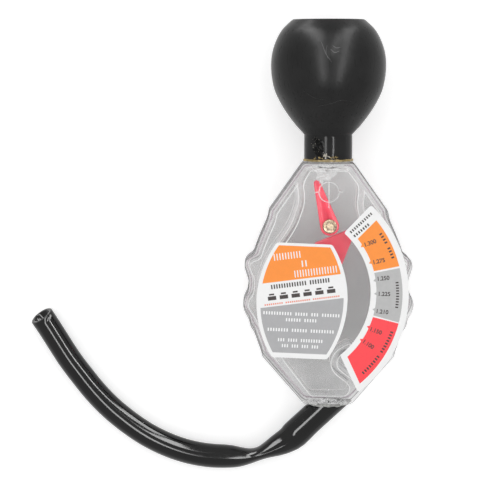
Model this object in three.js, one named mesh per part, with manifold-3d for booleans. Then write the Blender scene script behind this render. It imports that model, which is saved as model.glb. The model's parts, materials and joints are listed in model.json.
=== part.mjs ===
// A dial battery hydrometer, lying on its back with its hose on the surface beside it.
//
// The tester is built in its own frame: Y runs along the body, with zero at the body's top edge
// and the bulb above it, Z points out of the dial, with zero between the two shells, and X is to
// the right of the dial. It is then tilted until the bulb and the body's lower edge both rest.
import * as THREE from "three";
import Module from "manifold-3d";
import { mergeVertices } from "three/addons/utils/BufferGeometryUtils.js";

const wasm = await Module();
wasm.setup();

// Driving dimensions, in millimetres and degrees
const CLEARANCE = 0.3;
const OVERRUN = 1;

const BODY = { length: 111.6, halfWidth: 37, thickness: 22, face: 2, wall: 3.4, chamfer: 0.8 };
const CHAMBER = { frontWall: 2.2, backWall: 3.4 };
const SPIGOT = { radius: 9.2, bore: 7.2, length: 11.5 };
const BULB = { radius: 26.45, length: 64.1, wall: 2.4, endWall: 3 };
const BULB_NECK = { radius: 11.15, length: 11.5, gap: 1.4 };
const NECK_GLUE = { bulge: 0.9, wrap: 0.8 };
const NOZZLE = { radius: 4.4, bore: 2.7, length: 24, angle: 42.5, rootX: 1.5 };
const HOSE_GLUE = { halfWidth: 11.6, halfDepth: 7.8, drop: 2.8 };

const FLOAT = { reach: 42.8, tipAngle: 47, tipRound: 5, headLength: 20.3, barb: 2, stemHalf: 3.2 };
const FLOAT_PLATE = { thickness: 4, hubRadius: 4.6, tailReach: 8.4, tailRadius: 3.9, restAngle: 45 };
const FLOAT_PIN = { radius: 0.9, seat: 4, postRadius: 2.5 };
const FLOAT_SWEEP = { lowAngle: -42, highAngle: 42 };
const WEIGHT = { radius: 2.3 };
const NEEDLE = { radius: 4.35, tipRadius: 1.5, reach: 20.6, thickness: 2.5, restAngle: 106.5 };
const NEEDLE_PIN = { radius: 0.8, seat: 4, postRadius: 2, headRadius: 3.3, headThickness: 0.9 };

const SIGHT = { radius: 4.6, line: 0.5, height: 0.3, lineLength: 12, tick: 2.4 };
const LABEL = { clearance: 0.1, thickness: 0.2 };
const SCALE = { innerRadius: 35.65, width: 17.5, lowAngle: -54.5, highAngle: 49, round: 2 };
const MAIN = { halfHeight: 26.6, endHalf: 12.7, middleHalf: 20.9, turnAngle: -2.5, round: 1.5 };

const HOSE = { radius: 5.65, bore: 3.9, sleeveWall: 1.45, slantAngle: 20 };

// How finely round shapes are cut
const STEPS = { bulb: 40, bulbSide: 15, tube: 28, pin: 16, corner: 3, sweep: 16, label: 28 };
const HOSE_STEPS = { sides: 12, route: 36 };

// Places on the body, as shares of its half width and of its length from the top edge
const floatPivotShares = { x: -0.446, y: 0.539 };
const needlePivotShares = { x: 0.016, y: 0.262 };
const sightShares = { x: 0, y: 0.118 };
const mainLabelShares = { x: -0.33, y: 0.567 };

// Layers inside the body, as shares of half its inner depth
const floatLevelShare = -0.28;
const needleLevelShare = 0.6;

// The right side of the body from its lower end to its top, as shares of its half width and length.
// The third number is how far the corner's rounding reaches, as a share of the half width, and the
// fourth is the outer wall there as a share of its thickness, which is less at the grip lugs.
const bodySideShares = [
  [0.277, 1, 0.02, 1],
  [0.327, 0.988, 0.03, 1],
  [0.824, 0.798, 0.03, 1],
  [0.829, 0.784, 0.03, 1],
  [0.924, 0.695, 0.04, 1],
  [0.968, 0.676, 0.04, 0.9],
  [0.985, 0.645, 0.08, 0.75],
  [1.035, 0.619, 0.09, 0.65],
  [1.063, 0.59, 0.09, 0.65],
  [1.048, 0.561, 0.09, 0.65],
  [1, 0.534, 0.08, 0.75],
  [0.988, 0.484, 0.08, 0.75],
  [1.015, 0.458, 0.09, 0.65],
  [1.048, 0.425, 0.09, 0.65],
  [1.02, 0.396, 0.1, 0.7],
  [0.928, 0.375, 0.04, 1],
  [0.87, 0.32, 0.1, 1],
  [0.75, 0.229, 0.08, 1],
  [0.737, 0.198, 0.03, 1],
  [0.315, 0, 0.02, 1],
];

// The chamber's outline past the float's sweep, in the same shares: up the right side of the
// needle's channel, over the top, down the left side, round the outlet and up to the float's stop
const channelShares = [
  [0.395, 0.226, 0.12],
  [0.357, 0.177, 0.12],
  [0.381, 0.12, 0.12],
  [0.37, 0.087, 0.05],
  [0.21, 0.019, 0.02],
  [-0.21, 0.019, 0.02],
  [-0.327, 0.083, 0.08],
  [-0.303, 0.136, 0.1],
  [-0.314, 0.178, 0.1],
  [-0.414, 0.273, 0.2],
  [-0.703, 0.404, 0.2],
  [-0.797, 0.5, 0.2],
  [-0.797, 0.61, 0.2],
  [-0.73, 0.717, 0.2],
  [-0.576, 0.815, 0.1],
  [-0.216, 0.97, 0.04],
  [0.232, 0.97, 0.04],
  [0.288, 0.938, 0.04],
  [0.255, 0.913, 0.05],
  [0.083, 0.872, 0.1],
  [0.032, 0.835, 0.1],
  [0.083, 0.783, 0.1],
  [0.265, 0.749, 0.05],
];

// The bulb's outline from its neck to its flat end, as shares of its radius and length
const bulbSideShares = [
  [0.556, 0.239],
  [0.715, 0.325],
  [0.843, 0.411],
  [0.938, 0.497],
  [0.985, 0.585],
  [1, 0.668],
  [0.983, 0.754],
  [0.922, 0.84],
  [0.809, 0.926],
  [0.628, 1],
];
const bulbEndCornerShare = 0.25;

// The most that a corner's rounding takes of the side beside it
const cornerShare = 0.45;
const labelCornerShare = 0.8;

// The hose's route past the nozzle's end, from where it comes down to its open end.
// X and Y are measured from the hose's end inside on the nozzle, and Z from the surface.
const hoseRoute = [
  [-1.1, -1, 9.15],
  [-3.7, -2.8, 8.75],
  [-7, -4.7, 8.2],
  [-11.2, -6.9, 7.4],
  [-15.5, -8.9, 6.6],
  [-19.7, -10.1, 6],
  [-24.4, -10.5, 5.75],
  [-30, -10.3, 5.7],
  [-38.5, -9.9, 5.7],
  [-47.9, -8.3, 5.7],
  [-57.3, -5.3, 5.7],
  [-66.8, -0.8, 5.7],
  [-75.2, 4.6, 5.7],
  [-84.6, 12.1, 5.7],
  [-92.2, 19.8, 5.7],
  [-98.5, 27.5, 5.7],
  [-104.2, 35, 5.7],
  [-109.1, 42.5, 5.7],
  [-113.8, 49.9, 5.7],
  [-117.8, 55.9, 5.7],
];

// Sizes and places that follow from these
const radians = THREE.MathUtils.degToRad;
const innerHalf = BODY.thickness / 2 - BODY.face;
const onBody = ({ x, y }) => new THREE.Vector2(x * BODY.halfWidth, -y * BODY.length);
const floatPivot = onBody(floatPivotShares);
const needlePivot = onBody(needlePivotShares);
const floatZ = floatLevelShare * innerHalf;
const needleZ = needleLevelShare * innerHalf;
const nozzleTurn = radians(180 + NOZZLE.angle);
const nozzleWay = new THREE.Vector3(Math.cos(nozzleTurn), Math.sin(nozzleTurn), 0);
const nozzleRoot = new THREE.Vector3(NOZZLE.rootX, -BODY.length, 0);
const sleeveRadius = NOZZLE.radius + CLEARANCE + HOSE.sleeveWall;

// Materials
const opaque = (color, roughness, metalness = 0) =>
  new THREE.MeshStandardMaterial({ color, roughness, metalness });
const clear = (color, opacity) =>
  new THREE.MeshStandardMaterial({ color, opacity, roughness: 0.1, metalness: 0, transparent: true });
const materials = {
  bulbRubber: opaque(0x161616, 0.35),
  hoseRubber: opaque(0x0c0c0d, 0.2),
  amberGlue: opaque(0x8a6a35, 0.5),
  redPlastic: opaque(0xe83a4c, 0.4),
  brass: opaque(0xc9a765, 0.35, 1),
  label: opaque(0xf2f2f2, 0.5),
  clearPlastic: clear(0xd4d6d8, 0.35),
  clearGlue: clear(0xe8e8e2, 0.6),
};

// From three.js geometry to a solid that can be joined and cut, and back
function solidOf(geometry) {
  const bare = geometry.clone();
  bare.deleteAttribute("normal");
  bare.deleteAttribute("uv");
  const merged = mergeVertices(bare);
  const vertProperties = merged.attributes.position.array;
  const triVerts = new Uint32Array(merged.index.array);
  return new wasm.Manifold(new wasm.Mesh({ numProp: 3, vertProperties, triVerts }));
}

function geometryOf(solid) {
  const mesh = solid.getMesh();
  const geometry = new THREE.BufferGeometry();
  geometry.setAttribute("position", new THREE.BufferAttribute(mesh.vertProperties, 3));
  geometry.setIndex(new THREE.BufferAttribute(mesh.triVerts, 1));
  const faceted = geometry.toNonIndexed();
  faceted.computeVertexNormals();
  return faceted;
}

function piece(name, geometry, material) {
  const mesh = new THREE.Mesh(geometry, material);
  mesh.name = name;
  return mesh;
}

// Outlines are anticlockwise lists of corners, each [x, y, how far its rounding reaches]. A fourth
// number is the corner's own share of the distance that the outline is inset by.
const mirrored = (corners) => corners.map(([x, ...rest]) => [-x, ...rest]).reverse();
const onBodyCorners = (shares) =>
  shares.map(([x, y, round, share = 1]) => [
    x * BODY.halfWidth,
    -y * BODY.length,
    round * BODY.halfWidth,
    share,
  ]);

// Moves every side of an outline inwards, or outwards where the distance is below zero
function inset(corners, distance) {
  const at = corners.map(([x, y]) => new THREE.Vector2(x, y));
  return corners.map(([x, y, round, share = 1], i) => {
    const before = at[i].clone().sub(at.at(i - 1)).normalize();
    const after = at[(i + 1) % at.length].clone().sub(at[i]).normalize();
    const reach = (distance * share) / (1 + before.dot(after));
    return [x - (before.y + after.y) * reach, y + (before.x + after.x) * reach, round];
  });
}

// The points of an outline with its corners rounded
function rounded(corners, mostShare = cornerShare) {
  const at = corners.map(([x, y]) => new THREE.Vector2(x, y));
  return corners.flatMap(([, , round = 0], i) => {
    if (round === 0) return [at[i]];
    const [from, to] = [at.at(i - 1), at[(i + 1) % at.length]].map((other) =>
      at[i].clone().lerp(other, Math.min(round / at[i].distanceTo(other), mostShare)),
    );
    return new THREE.QuadraticBezierCurve(from, at[i], to).getPoints(STEPS.corner);
  });
}

function arc(centre, radius, low, high, steps, round) {
  return Array.from({ length: steps + 1 }, (_, i) => {
    const turn = radians(low + ((high - low) * i) / steps);
    return [centre.x + radius * Math.cos(turn), centre.y + radius * Math.sin(turn), round];
  });
}

// Straight solids: an outline between two heights, and round rods along Z, the body and the nozzle
function slab(outline, low, high, hole) {
  const shape = new THREE.Shape(outline);
  if (hole) shape.holes.push(new THREE.Path(hole));
  return new THREE.ExtrudeGeometry(shape, { depth: high - low, bevelEnabled: false }).translate(0, 0, low);
}

function rod(place, radius, low, high, steps = STEPS.tube) {
  const along = new THREE.CylinderGeometry(radius, radius, high - low, steps).rotateX(Math.PI / 2);
  return solidOf(along.translate(place.x, place.y, (low + high) / 2));
}

function bodyRod(radius, low, high) {
  const along = new THREE.CylinderGeometry(radius, radius, high - low, STEPS.tube);
  return solidOf(along.translate(0, (low + high) / 2, 0));
}

// Distances along the nozzle start at the body's lower edge
function nozzleRod(radius, from, to) {
  const along = new THREE.CylinderGeometry(radius, radius, to - from, STEPS.tube);
  const middle = nozzleRoot.clone().addScaledVector(nozzleWay, (from + to) / 2);
  return solidOf(along.rotateZ(nozzleTurn - Math.PI / 2).translate(middle.x, middle.y, middle.z));
}

// A block past a plane, which keeps or removes what lies on that side of it
function beyond(point, way) {
  const size = BODY.length * 4;
  const block = new THREE.BoxGeometry(size, size, size).translate(size / 2, 0, 0);
  block.applyQuaternion(new THREE.Quaternion().setFromUnitVectors(new THREE.Vector3(1, 0, 0), way));
  return solidOf(block.translate(point.x, point.y, point.z));
}

const bodySide = onBodyCorners(bodySideShares);
const bodyCorners = [...bodySide, ...mirrored(bodySide)];
const chamberCorners = [
  ...arc(floatPivot, FLOAT.reach + CLEARANCE, FLOAT_SWEEP.lowAngle, FLOAT_SWEEP.highAngle, STEPS.sweep, 0),
  ...onBodyCorners(channelShares),
];

// Both trays before they are parted: faces, outer wall, chamber wall, spigot and nozzle
function housing(chamberWall) {
  const block = new THREE.ExtrudeGeometry(new THREE.Shape(rounded(bodyCorners)), {
    depth: BODY.thickness - BODY.chamfer * 2,
    bevelThickness: BODY.chamfer,
    bevelSize: BODY.chamfer,
    bevelOffset: -BODY.chamfer,
    bevelSegments: 1,
  });
  const outside = solidOf(block.translate(0, 0, BODY.chamfer - BODY.thickness / 2));
  const pocket = solidOf(slab(rounded(inset(bodyCorners, BODY.wall)), -innerHalf, innerHalf));
  const sunk = innerHalf + BODY.face / 2;
  const chamberOutside = rounded(inset(chamberCorners, -chamberWall));
  const chamber = solidOf(slab(chamberOutside, -sunk, sunk, rounded(chamberCorners)));
  return outside
    .subtract(pocket)
    .add(chamber.intersect(outside))
    .add(bodyRod(SPIGOT.radius, -BODY.wall, SPIGOT.length))
    .add(nozzleRod(NOZZLE.radius, -BODY.wall, NOZZLE.length))
    .subtract(bodyRod(SPIGOT.bore, -BODY.wall - OVERRUN, SPIGOT.length + OVERRUN))
    .subtract(nozzleRod(NOZZLE.bore, -BODY.wall * 3, NOZZLE.length + OVERRUN));
}

// The moulded ring, line and ticks that the level needle is read against
function sightMark() {
  const low = BODY.thickness / 2 - SIGHT.height;
  const high = BODY.thickness / 2 + SIGHT.height;
  const place = onBody(sightShares);
  const bar = (width, length, x, y) => {
    const box = new THREE.BoxGeometry(width, length, high - low);
    return solidOf(box.translate(place.x + x, place.y + y, (low + high) / 2));
  };
  const across = SIGHT.radius + SIGHT.tick / 2;
  return rod(place, SIGHT.radius + SIGHT.line / 2, low, high)
    .subtract(rod(place, SIGHT.radius - SIGHT.line / 2, low - OVERRUN, high + OVERRUN))
    .add(bar(SIGHT.line, SIGHT.lineLength, 0, SIGHT.radius - SIGHT.lineLength / 2))
    .add(bar(SIGHT.tick, SIGHT.line, across, 0))
    .add(bar(SIGHT.tick, SIGHT.line, -across, 0));
}

function frontShell() {
  const postEnd = floatZ + FLOAT_PLATE.thickness / 2 + CLEARANCE;
  const hole = FLOAT_PIN.radius + CLEARANCE;
  return housing(CHAMBER.frontWall)
    .intersect(beyond(new THREE.Vector3(0, 0, CLEARANCE / 2), new THREE.Vector3(0, 0, 1)))
    .add(rod(floatPivot, FLOAT_PIN.postRadius, postEnd, innerHalf + BODY.face / 2))
    .subtract(rod(floatPivot, hole, postEnd - OVERRUN, postEnd + FLOAT_PIN.seat))
    .add(sightMark());
}

function backShell() {
  const root = -innerHalf - BODY.face / 2;
  const floatPost = floatZ - FLOAT_PLATE.thickness / 2 - CLEARANCE;
  const needlePost = needleZ - NEEDLE.thickness / 2 - CLEARANCE;
  const floatHole = FLOAT_PIN.radius + CLEARANCE;
  const needleHole = NEEDLE_PIN.radius + CLEARANCE;
  return housing(CHAMBER.backWall)
    .intersect(beyond(new THREE.Vector3(0, 0, -CLEARANCE / 2), new THREE.Vector3(0, 0, -1)))
    .add(rod(floatPivot, FLOAT_PIN.postRadius, root, floatPost))
    .add(rod(needlePivot, NEEDLE_PIN.postRadius, root, needlePost))
    .subtract(rod(floatPivot, floatHole, floatPost - FLOAT_PIN.seat, floatPost + OVERRUN))
    .subtract(rod(needlePivot, needleHole, needlePost - NEEDLE_PIN.seat, needlePost + OVERRUN));
}

// The density float: an arrow with a hub for its pin and a round tail that holds the weight
function floatArrow() {
  const half = FLOAT.headLength * Math.tan(radians(FLOAT.tipAngle / 2));
  const base = FLOAT.reach - FLOAT.headLength;
  const upper = [
    [base, half, FLOAT.barb],
    [base + FLOAT.barb, FLOAT.stemHalf, FLOAT.barb],
    [-FLOAT_PLATE.tailReach, FLOAT.stemHalf, 0],
  ];
  const lower = upper.map(([x, y, round]) => [x, -y, round]).reverse();
  const outline = rounded([[FLOAT.reach, 0, FLOAT.tipRound], ...upper, ...lower]);
  const hub = new THREE.Vector2(0, 0);
  const tail = new THREE.Vector2(-FLOAT_PLATE.tailReach, 0);
  const high = FLOAT_PLATE.thickness / 2;
  const hole = high + OVERRUN;
  return solidOf(slab(outline, -high, high))
    .add(rod(hub, FLOAT_PLATE.hubRadius, -high, high))
    .add(rod(tail, FLOAT_PLATE.tailRadius, -high, high))
    .subtract(rod(hub, FLOAT_PIN.radius + CLEARANCE, -hole, hole, STEPS.pin))
    .subtract(rod(tail, WEIGHT.radius + CLEARANCE, -hole, hole, STEPS.pin));
}

function floatWeight() {
  const high = FLOAT_PLATE.thickness / 2;
  return rod(new THREE.Vector2(-FLOAT_PLATE.tailReach, 0), WEIGHT.radius, -high, high, STEPS.pin);
}

function floatPin() {
  const reach = FLOAT_PLATE.thickness / 2 + FLOAT_PIN.seat;
  return rod(floatPivot, FLOAT_PIN.radius, floatZ - reach, floatZ + reach, STEPS.pin);
}

// The level needle: a large round end and a small one, joined by their two tangents
function levelNeedle() {
  const turn = THREE.MathUtils.radToDeg(Math.acos((NEEDLE.radius - NEEDLE.tipRadius) / NEEDLE.reach));
  const pivot = new THREE.Vector2(0, 0);
  const tip = new THREE.Vector2(NEEDLE.reach, 0);
  const outline = rounded([
    ...arc(tip, NEEDLE.tipRadius, -turn, turn, STEPS.corner * 2, 0),
    ...arc(pivot, NEEDLE.radius, turn, 360 - turn, STEPS.tube, 0),
  ]);
  const high = NEEDLE.thickness / 2;
  const hole = high + OVERRUN;
  return solidOf(slab(outline, -high, high)).subtract(
    rod(pivot, NEEDLE_PIN.radius + CLEARANCE, -hole, hole, STEPS.pin),
  );
}

function needlePin() {
  const under = needleZ + NEEDLE.thickness / 2 + CLEARANCE;
  const end = needleZ - NEEDLE.thickness / 2 - NEEDLE_PIN.seat;
  const shaft = rod(needlePivot, NEEDLE_PIN.radius, end, under + NEEDLE_PIN.headThickness / 2, STEPS.pin);
  return shaft.add(rod(needlePivot, NEEDLE_PIN.headRadius, under, under + NEEDLE_PIN.headThickness));
}

function suctionBulb() {
  const neckBore = SPIGOT.radius + CLEARANCE;
  const point = (x, y) => new THREE.Vector2(x, y);
  const curve = (points) => new THREE.SplineCurve(points).getPoints(STEPS.bulbSide);
  const outer = bulbSideShares.map(([r, y]) => point(r * BULB.radius, y * BULB.length));
  const inner = outer.slice(0, -1).map(({ x, y }) => point(x - BULB.wall, y));
  const endInside = BULB.length - BULB.endWall;
  const profile = [
    point(0, endInside),
    point(inner.at(-1).x * (1 - bulbEndCornerShare), endInside),
    ...curve(inner).reverse(),
    point(neckBore, BULB_NECK.length),
    point(neckBore, 0),
    point(BULB_NECK.radius, 0),
    point(BULB_NECK.radius, BULB_NECK.length),
    ...curve(outer),
    point(0, BULB.length),
  ];
  return new THREE.LatheGeometry(profile, STEPS.bulb).translate(0, BULB_NECK.gap, 0);
}

// Glue in the gap under the bulb's neck, which bulges out and up round the neck's end
function neckGlueBead() {
  const low = CLEARANCE;
  const high = BULB_NECK.gap - CLEARANCE;
  const inner = SPIGOT.radius + CLEARANCE;
  const round = BULB_NECK.radius + CLEARANCE;
  const out = BULB_NECK.radius + NECK_GLUE.bulge;
  const profile = [
    [inner, low],
    [(round + out) / 2, low],
    [out, (low + high) / 2],
    [out, high],
    [(round + out) / 2, high + NECK_GLUE.wrap],
    [round, high + NECK_GLUE.wrap],
    [round, high],
    [inner, high],
    [inner, low],
  ];
  return new THREE.LatheGeometry(profile.map(([x, y]) => new THREE.Vector2(x, y)), STEPS.bulb);
}

// Glue round the hose where it meets the body's lower edge
function hoseGlueBead() {
  const edge = new THREE.Vector3(nozzleRoot.x, -BODY.length - CLEARANCE, 0);
  const middle = edge.x + (nozzleWay.x / -nozzleWay.y) * (HOSE_GLUE.drop / 2);
  const blob = new THREE.SphereGeometry(1, STEPS.tube, STEPS.pin);
  blob.scale(HOSE_GLUE.halfWidth, HOSE_GLUE.drop, HOSE_GLUE.halfDepth).translate(middle, edge.y, 0);
  return solidOf(blob)
    .intersect(beyond(edge, new THREE.Vector3(0, -1, 0)))
    .subtract(nozzleRod(sleeveRadius + CLEARANCE, -NOZZLE.length, NOZZLE.length));
}

// The arc label, round the float's pivot
function scaleLabel() {
  const { lowAngle, highAngle, innerRadius, width } = SCALE;
  const outer = arc(floatPivot, innerRadius + width, lowAngle, highAngle, STEPS.label, 0);
  const inner = arc(floatPivot, innerRadius, highAngle, lowAngle, STEPS.label, 0);
  for (const ends of [outer, inner]) ends[0][2] = ends.at(-1)[2] = SCALE.round;
  const low = BODY.thickness / 2 + LABEL.clearance;
  return slab(rounded([...outer, ...inner], labelCornerShare), low, low + LABEL.thickness);
}

// The barrel shaped label, whose sides are arcs through its corners and its middle
function mainLabel() {
  const bulge = MAIN.middleHalf - MAIN.endHalf;
  const radius = (MAIN.halfHeight ** 2 + bulge ** 2) / (2 * bulge);
  const reach = THREE.MathUtils.radToDeg(Math.asin(MAIN.halfHeight / radius));
  const centre = new THREE.Vector2(MAIN.middleHalf - radius, 0);
  const right = arc(centre, radius, -reach, reach, STEPS.label, 0);
  right[0][2] = right.at(-1)[2] = MAIN.round;
  const outline = rounded([...right, ...mirrored(right)], labelCornerShare);
  const place = onBody(mainLabelShares);
  const low = BODY.thickness / 2 + LABEL.clearance;
  const label = slab(outline, low, low + LABEL.thickness).rotateZ(radians(MAIN.turnAngle));
  return label.translate(place.x, place.y, 0);
}

// The tester, tilted so that the bulb's side and the body's lower back edge are at one height
function tester() {
  const group = new THREE.Group();
  const float = new THREE.Group();
  float.position.set(floatPivot.x, floatPivot.y, floatZ);
  float.rotation.z = radians(FLOAT_PLATE.restAngle);
  float.add(
    piece("float_arrow", geometryOf(floatArrow()), materials.redPlastic),
    piece("float_weight", geometryOf(floatWeight()), materials.brass),
  );
  const needle = piece("level_needle", geometryOf(levelNeedle()), materials.redPlastic);
  needle.position.set(needlePivot.x, needlePivot.y, needleZ);
  needle.rotation.z = radians(NEEDLE.restAngle);
  group.add(
    piece("suction_bulb", suctionBulb(), materials.bulbRubber),
    piece("neck_glue_bead", neckGlueBead(), materials.amberGlue),
    piece("front_shell", geometryOf(frontShell()), materials.clearPlastic),
    piece("back_shell", geometryOf(backShell()), materials.clearPlastic),
    piece("hose_glue_bead", geometryOf(hoseGlueBead()), materials.clearGlue),
    piece("float_pivot_pin", geometryOf(floatPin()), materials.brass),
    piece("needle_pivot_pin", geometryOf(needlePin()), materials.brass),
    piece("scale_label", scaleLabel(), materials.label),
    piece("main_label", mainLabel(), materials.label),
    float,
    needle,
  );
  const widest = BULB_NECK.gap + bulbSideShares.find(([r]) => r === 1)[1] * BULB.length;
  const edge = BODY.thickness / 2;
  const span = widest + BODY.length - BODY.chamfer;
  group.rotation.x = Math.asin(BULB.radius / Math.hypot(span, edge)) - Math.atan2(edge, span);
  const box = new THREE.Box3().setFromObject(group, true);
  group.position.set(0, -(box.min.y + box.max.y) / 2, -box.min.z);
  group.updateMatrixWorld(true);
  return group;
}

// The hose: a stretched sleeve over the nozzle, then its route, with the bore open all the way
function hose(onTester) {
  const edge = new THREE.Vector3(0, -BODY.length - CLEARANCE, 0);
  const end = NOZZLE.length + CLEARANCE;
  const sleeve = nozzleRod(sleeveRadius, -NOZZLE.length, end + OVERRUN)
    .intersect(beyond(edge, new THREE.Vector3(0, -1, 0)))
    .subtract(nozzleRod(NOZZLE.radius + CLEARANCE, -NOZZLE.length, end));
  const start = nozzleRoot.clone().addScaledVector(nozzleWay, end).applyMatrix4(onTester);
  const points = hoseRoute.map(([x, y, z]) => new THREE.Vector3(start.x + x, start.y + y, z));
  const last = points.at(-1);
  const way = last.clone().sub(points.at(-2)).normalize();
  const past = last.clone().addScaledVector(way, HOSE.radius);
  const route = new THREE.CatmullRomCurve3([start, ...points, past], false, "centripetal");
  const tube = (radius) => {
    const section = new THREE.Shape().absarc(0, 0, radius, 0, Math.PI * 2);
    const settings = { steps: HOSE_STEPS.route, curveSegments: HOSE_STEPS.sides / 2, extrudePath: route };
    return solidOf(new THREE.ExtrudeGeometry(section, settings));
  };
  const slant = radians(HOSE.slantAngle);
  const face = way.clone().multiplyScalar(Math.cos(slant)).add(new THREE.Vector3(0, 0, Math.sin(slant)));
  return solidOf(geometryOf(sleeve).applyMatrix4(onTester))
    .add(tube(HOSE.radius))
    .subtract(tube(HOSE.bore))
    .subtract(beyond(last, face));
}

const hydrometer = new THREE.Group();
const body = tester();
hydrometer.add(body, piece("hose", geometryOf(hose(body.matrixWorld)), materials.hoseRubber));

export default hydrometer;
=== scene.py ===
import json
import random
from math import acos, atan, cos, degrees, exp, pi, radians, sin, sqrt, tan
from types import SimpleNamespace as Sizes

import bmesh
import bpy
from mathutils import Matrix, Vector, noise


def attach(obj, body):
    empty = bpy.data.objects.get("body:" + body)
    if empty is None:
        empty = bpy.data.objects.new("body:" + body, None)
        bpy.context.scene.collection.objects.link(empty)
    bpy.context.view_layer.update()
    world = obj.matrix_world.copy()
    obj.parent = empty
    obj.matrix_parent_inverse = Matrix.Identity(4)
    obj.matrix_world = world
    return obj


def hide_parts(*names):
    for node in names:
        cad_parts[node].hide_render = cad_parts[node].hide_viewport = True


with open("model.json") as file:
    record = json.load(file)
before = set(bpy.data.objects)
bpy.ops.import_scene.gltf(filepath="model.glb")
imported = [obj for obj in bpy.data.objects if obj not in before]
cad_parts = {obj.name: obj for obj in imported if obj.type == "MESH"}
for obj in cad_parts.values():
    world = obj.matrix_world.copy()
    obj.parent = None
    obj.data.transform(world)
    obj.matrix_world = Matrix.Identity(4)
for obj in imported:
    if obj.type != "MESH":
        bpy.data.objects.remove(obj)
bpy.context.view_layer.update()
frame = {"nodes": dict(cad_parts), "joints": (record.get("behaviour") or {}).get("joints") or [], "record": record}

MM = 0.001

# Sizes in millimetres and angles in degrees, as in the construction
BODY = Sizes(length=111.6, half_width=37, half_depth=11, face=2, wall=3.4, edge=1.2)
# The joint of the two shells: half its gap, its edges, and where the weld shows in the outer wall
JOINT = Sizes(gap=0.02, edge=0.3, weld_low=1.3, weld_high=2.1)
CHAMBER = Sizes(front_wall=2.2, back_wall=3.4, fillet=0.45)
SPIGOT = Sizes(radius=9.2, bore=7.2, length=11.5)
BULB = Sizes(radius=26.45, length=64.1, wall=2.4, end_wall=3, dish=0.5, dish_rise=0.3, lip=0.9)
BULB_NECK = Sizes(radius=11.15, length=11.5, gap=1.4, edge=0.4)
NOZZLE = Sizes(radius=4.4, bore=2.7, length=24, angle=42.5, root_x=1.5)
FLOAT = Sizes(reach=42.8, tip_angle=47, tip_round=5, head=20.3, barb=2, stem=3.2, rest_angle=45)
FLOAT_PLATE = Sizes(half=2, edge=0.5, hub=4.6, tail_reach=8.4, tail=3.9, weight=2.3, sweep=42)
FLOAT_PIN = Sizes(radius=0.9, seat=4, post=2.5)
NEEDLE = Sizes(radius=4.35, tip=1.5, reach=20.6, half=1.25, edge=0.45, rest_angle=106.5)
NEEDLE_PIN = Sizes(radius=0.8, seat=4, post=2, head=3.3, head_thickness=0.9)
SIGHT = Sizes(radius=4.6, line=0.5, top_share=0.7, height=0.3, sunk=0.2, length=12, tick=2.4)
LABEL = Sizes(clearance=0.1, thickness=0.2, print=0.03, ink=0.02)
SCALE = Sizes(low=-54.5, high=49, round=1.6)
# The scale's edges are circles a little off the float's pivot: offsets of their middle, and radius
SCALE_INNER = (-1.25, 0.65, 37.05)
SCALE_OUTER = (-3.35, 0.1, 56.7)
FIELD_INNER = (-1.25, 0.65, 39.75)
FIELD_OUTER = (-3.5, -0.1, 53.95)
# How many degrees the edges of the scale go past its ends
SCALE_SLANT = Sizes(inner_low=-2.2, outer_low=1.9, inner_high=1.4, outer_high=0)
MAIN = Sizes(half_height=26.6, end_half=12.7, middle_half=20.9, turn=-2.5, round=1.1)
MAIN_FIELD = Sizes(side=1.8, top=25.3, bottom=-24.3, slope=0.167, orange_low=10.4, grey_high=-0.9)
HOSE = Sizes(radius=5.65, bore=3.9, sleeve=6.15, slant=20)
CLEARANCE = 0.3
# The radius that stands for the axis in the profile of a turned piece, and how far a cut runs on
AXIS = 0.01
OVERRUN = 1

# Places on the body, as shares of its half width and of its length from the top edge
float_pivot_shares = (-0.446, 0.539)
needle_pivot_shares = (0.016, 0.262)
sight_shares = (0, 0.118)
main_label_shares = (-0.33, 0.567)
float_level_share = -0.28
needle_level_share = 0.6

# The hose's route past the nozzle's end, in metres. X and Y are from the nozzle's end.
hose_route = [
    (-0.0011, -0.001, 0.00915), (-0.0037, -0.0028, 0.00875), (-0.007, -0.0047, 0.0082),
    (-0.0112, -0.0069, 0.0074), (-0.0155, -0.0089, 0.0066), (-0.0197, -0.0101, 0.006),
    (-0.0244, -0.0105, 0.00575), (-0.03, -0.0103, 0.0057), (-0.0385, -0.0099, 0.0057),
    (-0.0479, -0.0083, 0.0057), (-0.0573, -0.0053, 0.0057), (-0.0668, -0.0008, 0.0057),
    (-0.0752, 0.0046, 0.0057), (-0.0846, 0.0121, 0.0057), (-0.0922, 0.0198, 0.0057),
    (-0.0985, 0.0275, 0.0057), (-0.1042, 0.035, 0.0057), (-0.1091, 0.0425, 0.0057),
    (-0.1138, 0.0499, 0.0057), (-0.1178, 0.0559, 0.0057),
]

# Where the tester lies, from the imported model's mount on the bulb's end and its hinge axis
mounts = {mount["name"]: mount for mount in frame["record"]["mounts"]}
ALONG = Vector(mounts["bulb_end"]["axis"]).normalized()
OUT = Vector(frame["joints"][0]["axis"]).normalized()
ACROSS = ALONG.cross(OUT)
ORIGIN = Vector(mounts["bulb_end"]["pos_m"]) - ALONG * (BULB.length + BULB_NECK.gap) * MM
TESTER = Matrix((ACROSS, ALONG, OUT)).transposed().to_4x4()
TESTER.translation = ORIGIN
TESTER = TESTER @ Matrix.Scale(MM, 4)


# Camera, straight above at the distance that gives the photograph's framing
PHOTO_WIDTH = 0.23
CAMERA_HEIGHT = 0.9
FRAMED_HEIGHT = 0.026
CAMERA_X = -0.0361
CAMERA_Y = -0.00882


def shown(item):
    bpy.context.scene.collection.objects.link(item)
    return item


def make_camera():
    data = bpy.data.cameras.new("camera")
    data.sensor_width = 36
    data.lens = data.sensor_width * (CAMERA_HEIGHT - FRAMED_HEIGHT) / PHOTO_WIDTH
    camera = bpy.data.objects.new("camera", data)
    camera.location = (CAMERA_X, CAMERA_Y, CAMERA_HEIGHT)
    shown(camera)
    bpy.context.scene.camera = camera


make_camera()


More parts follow.
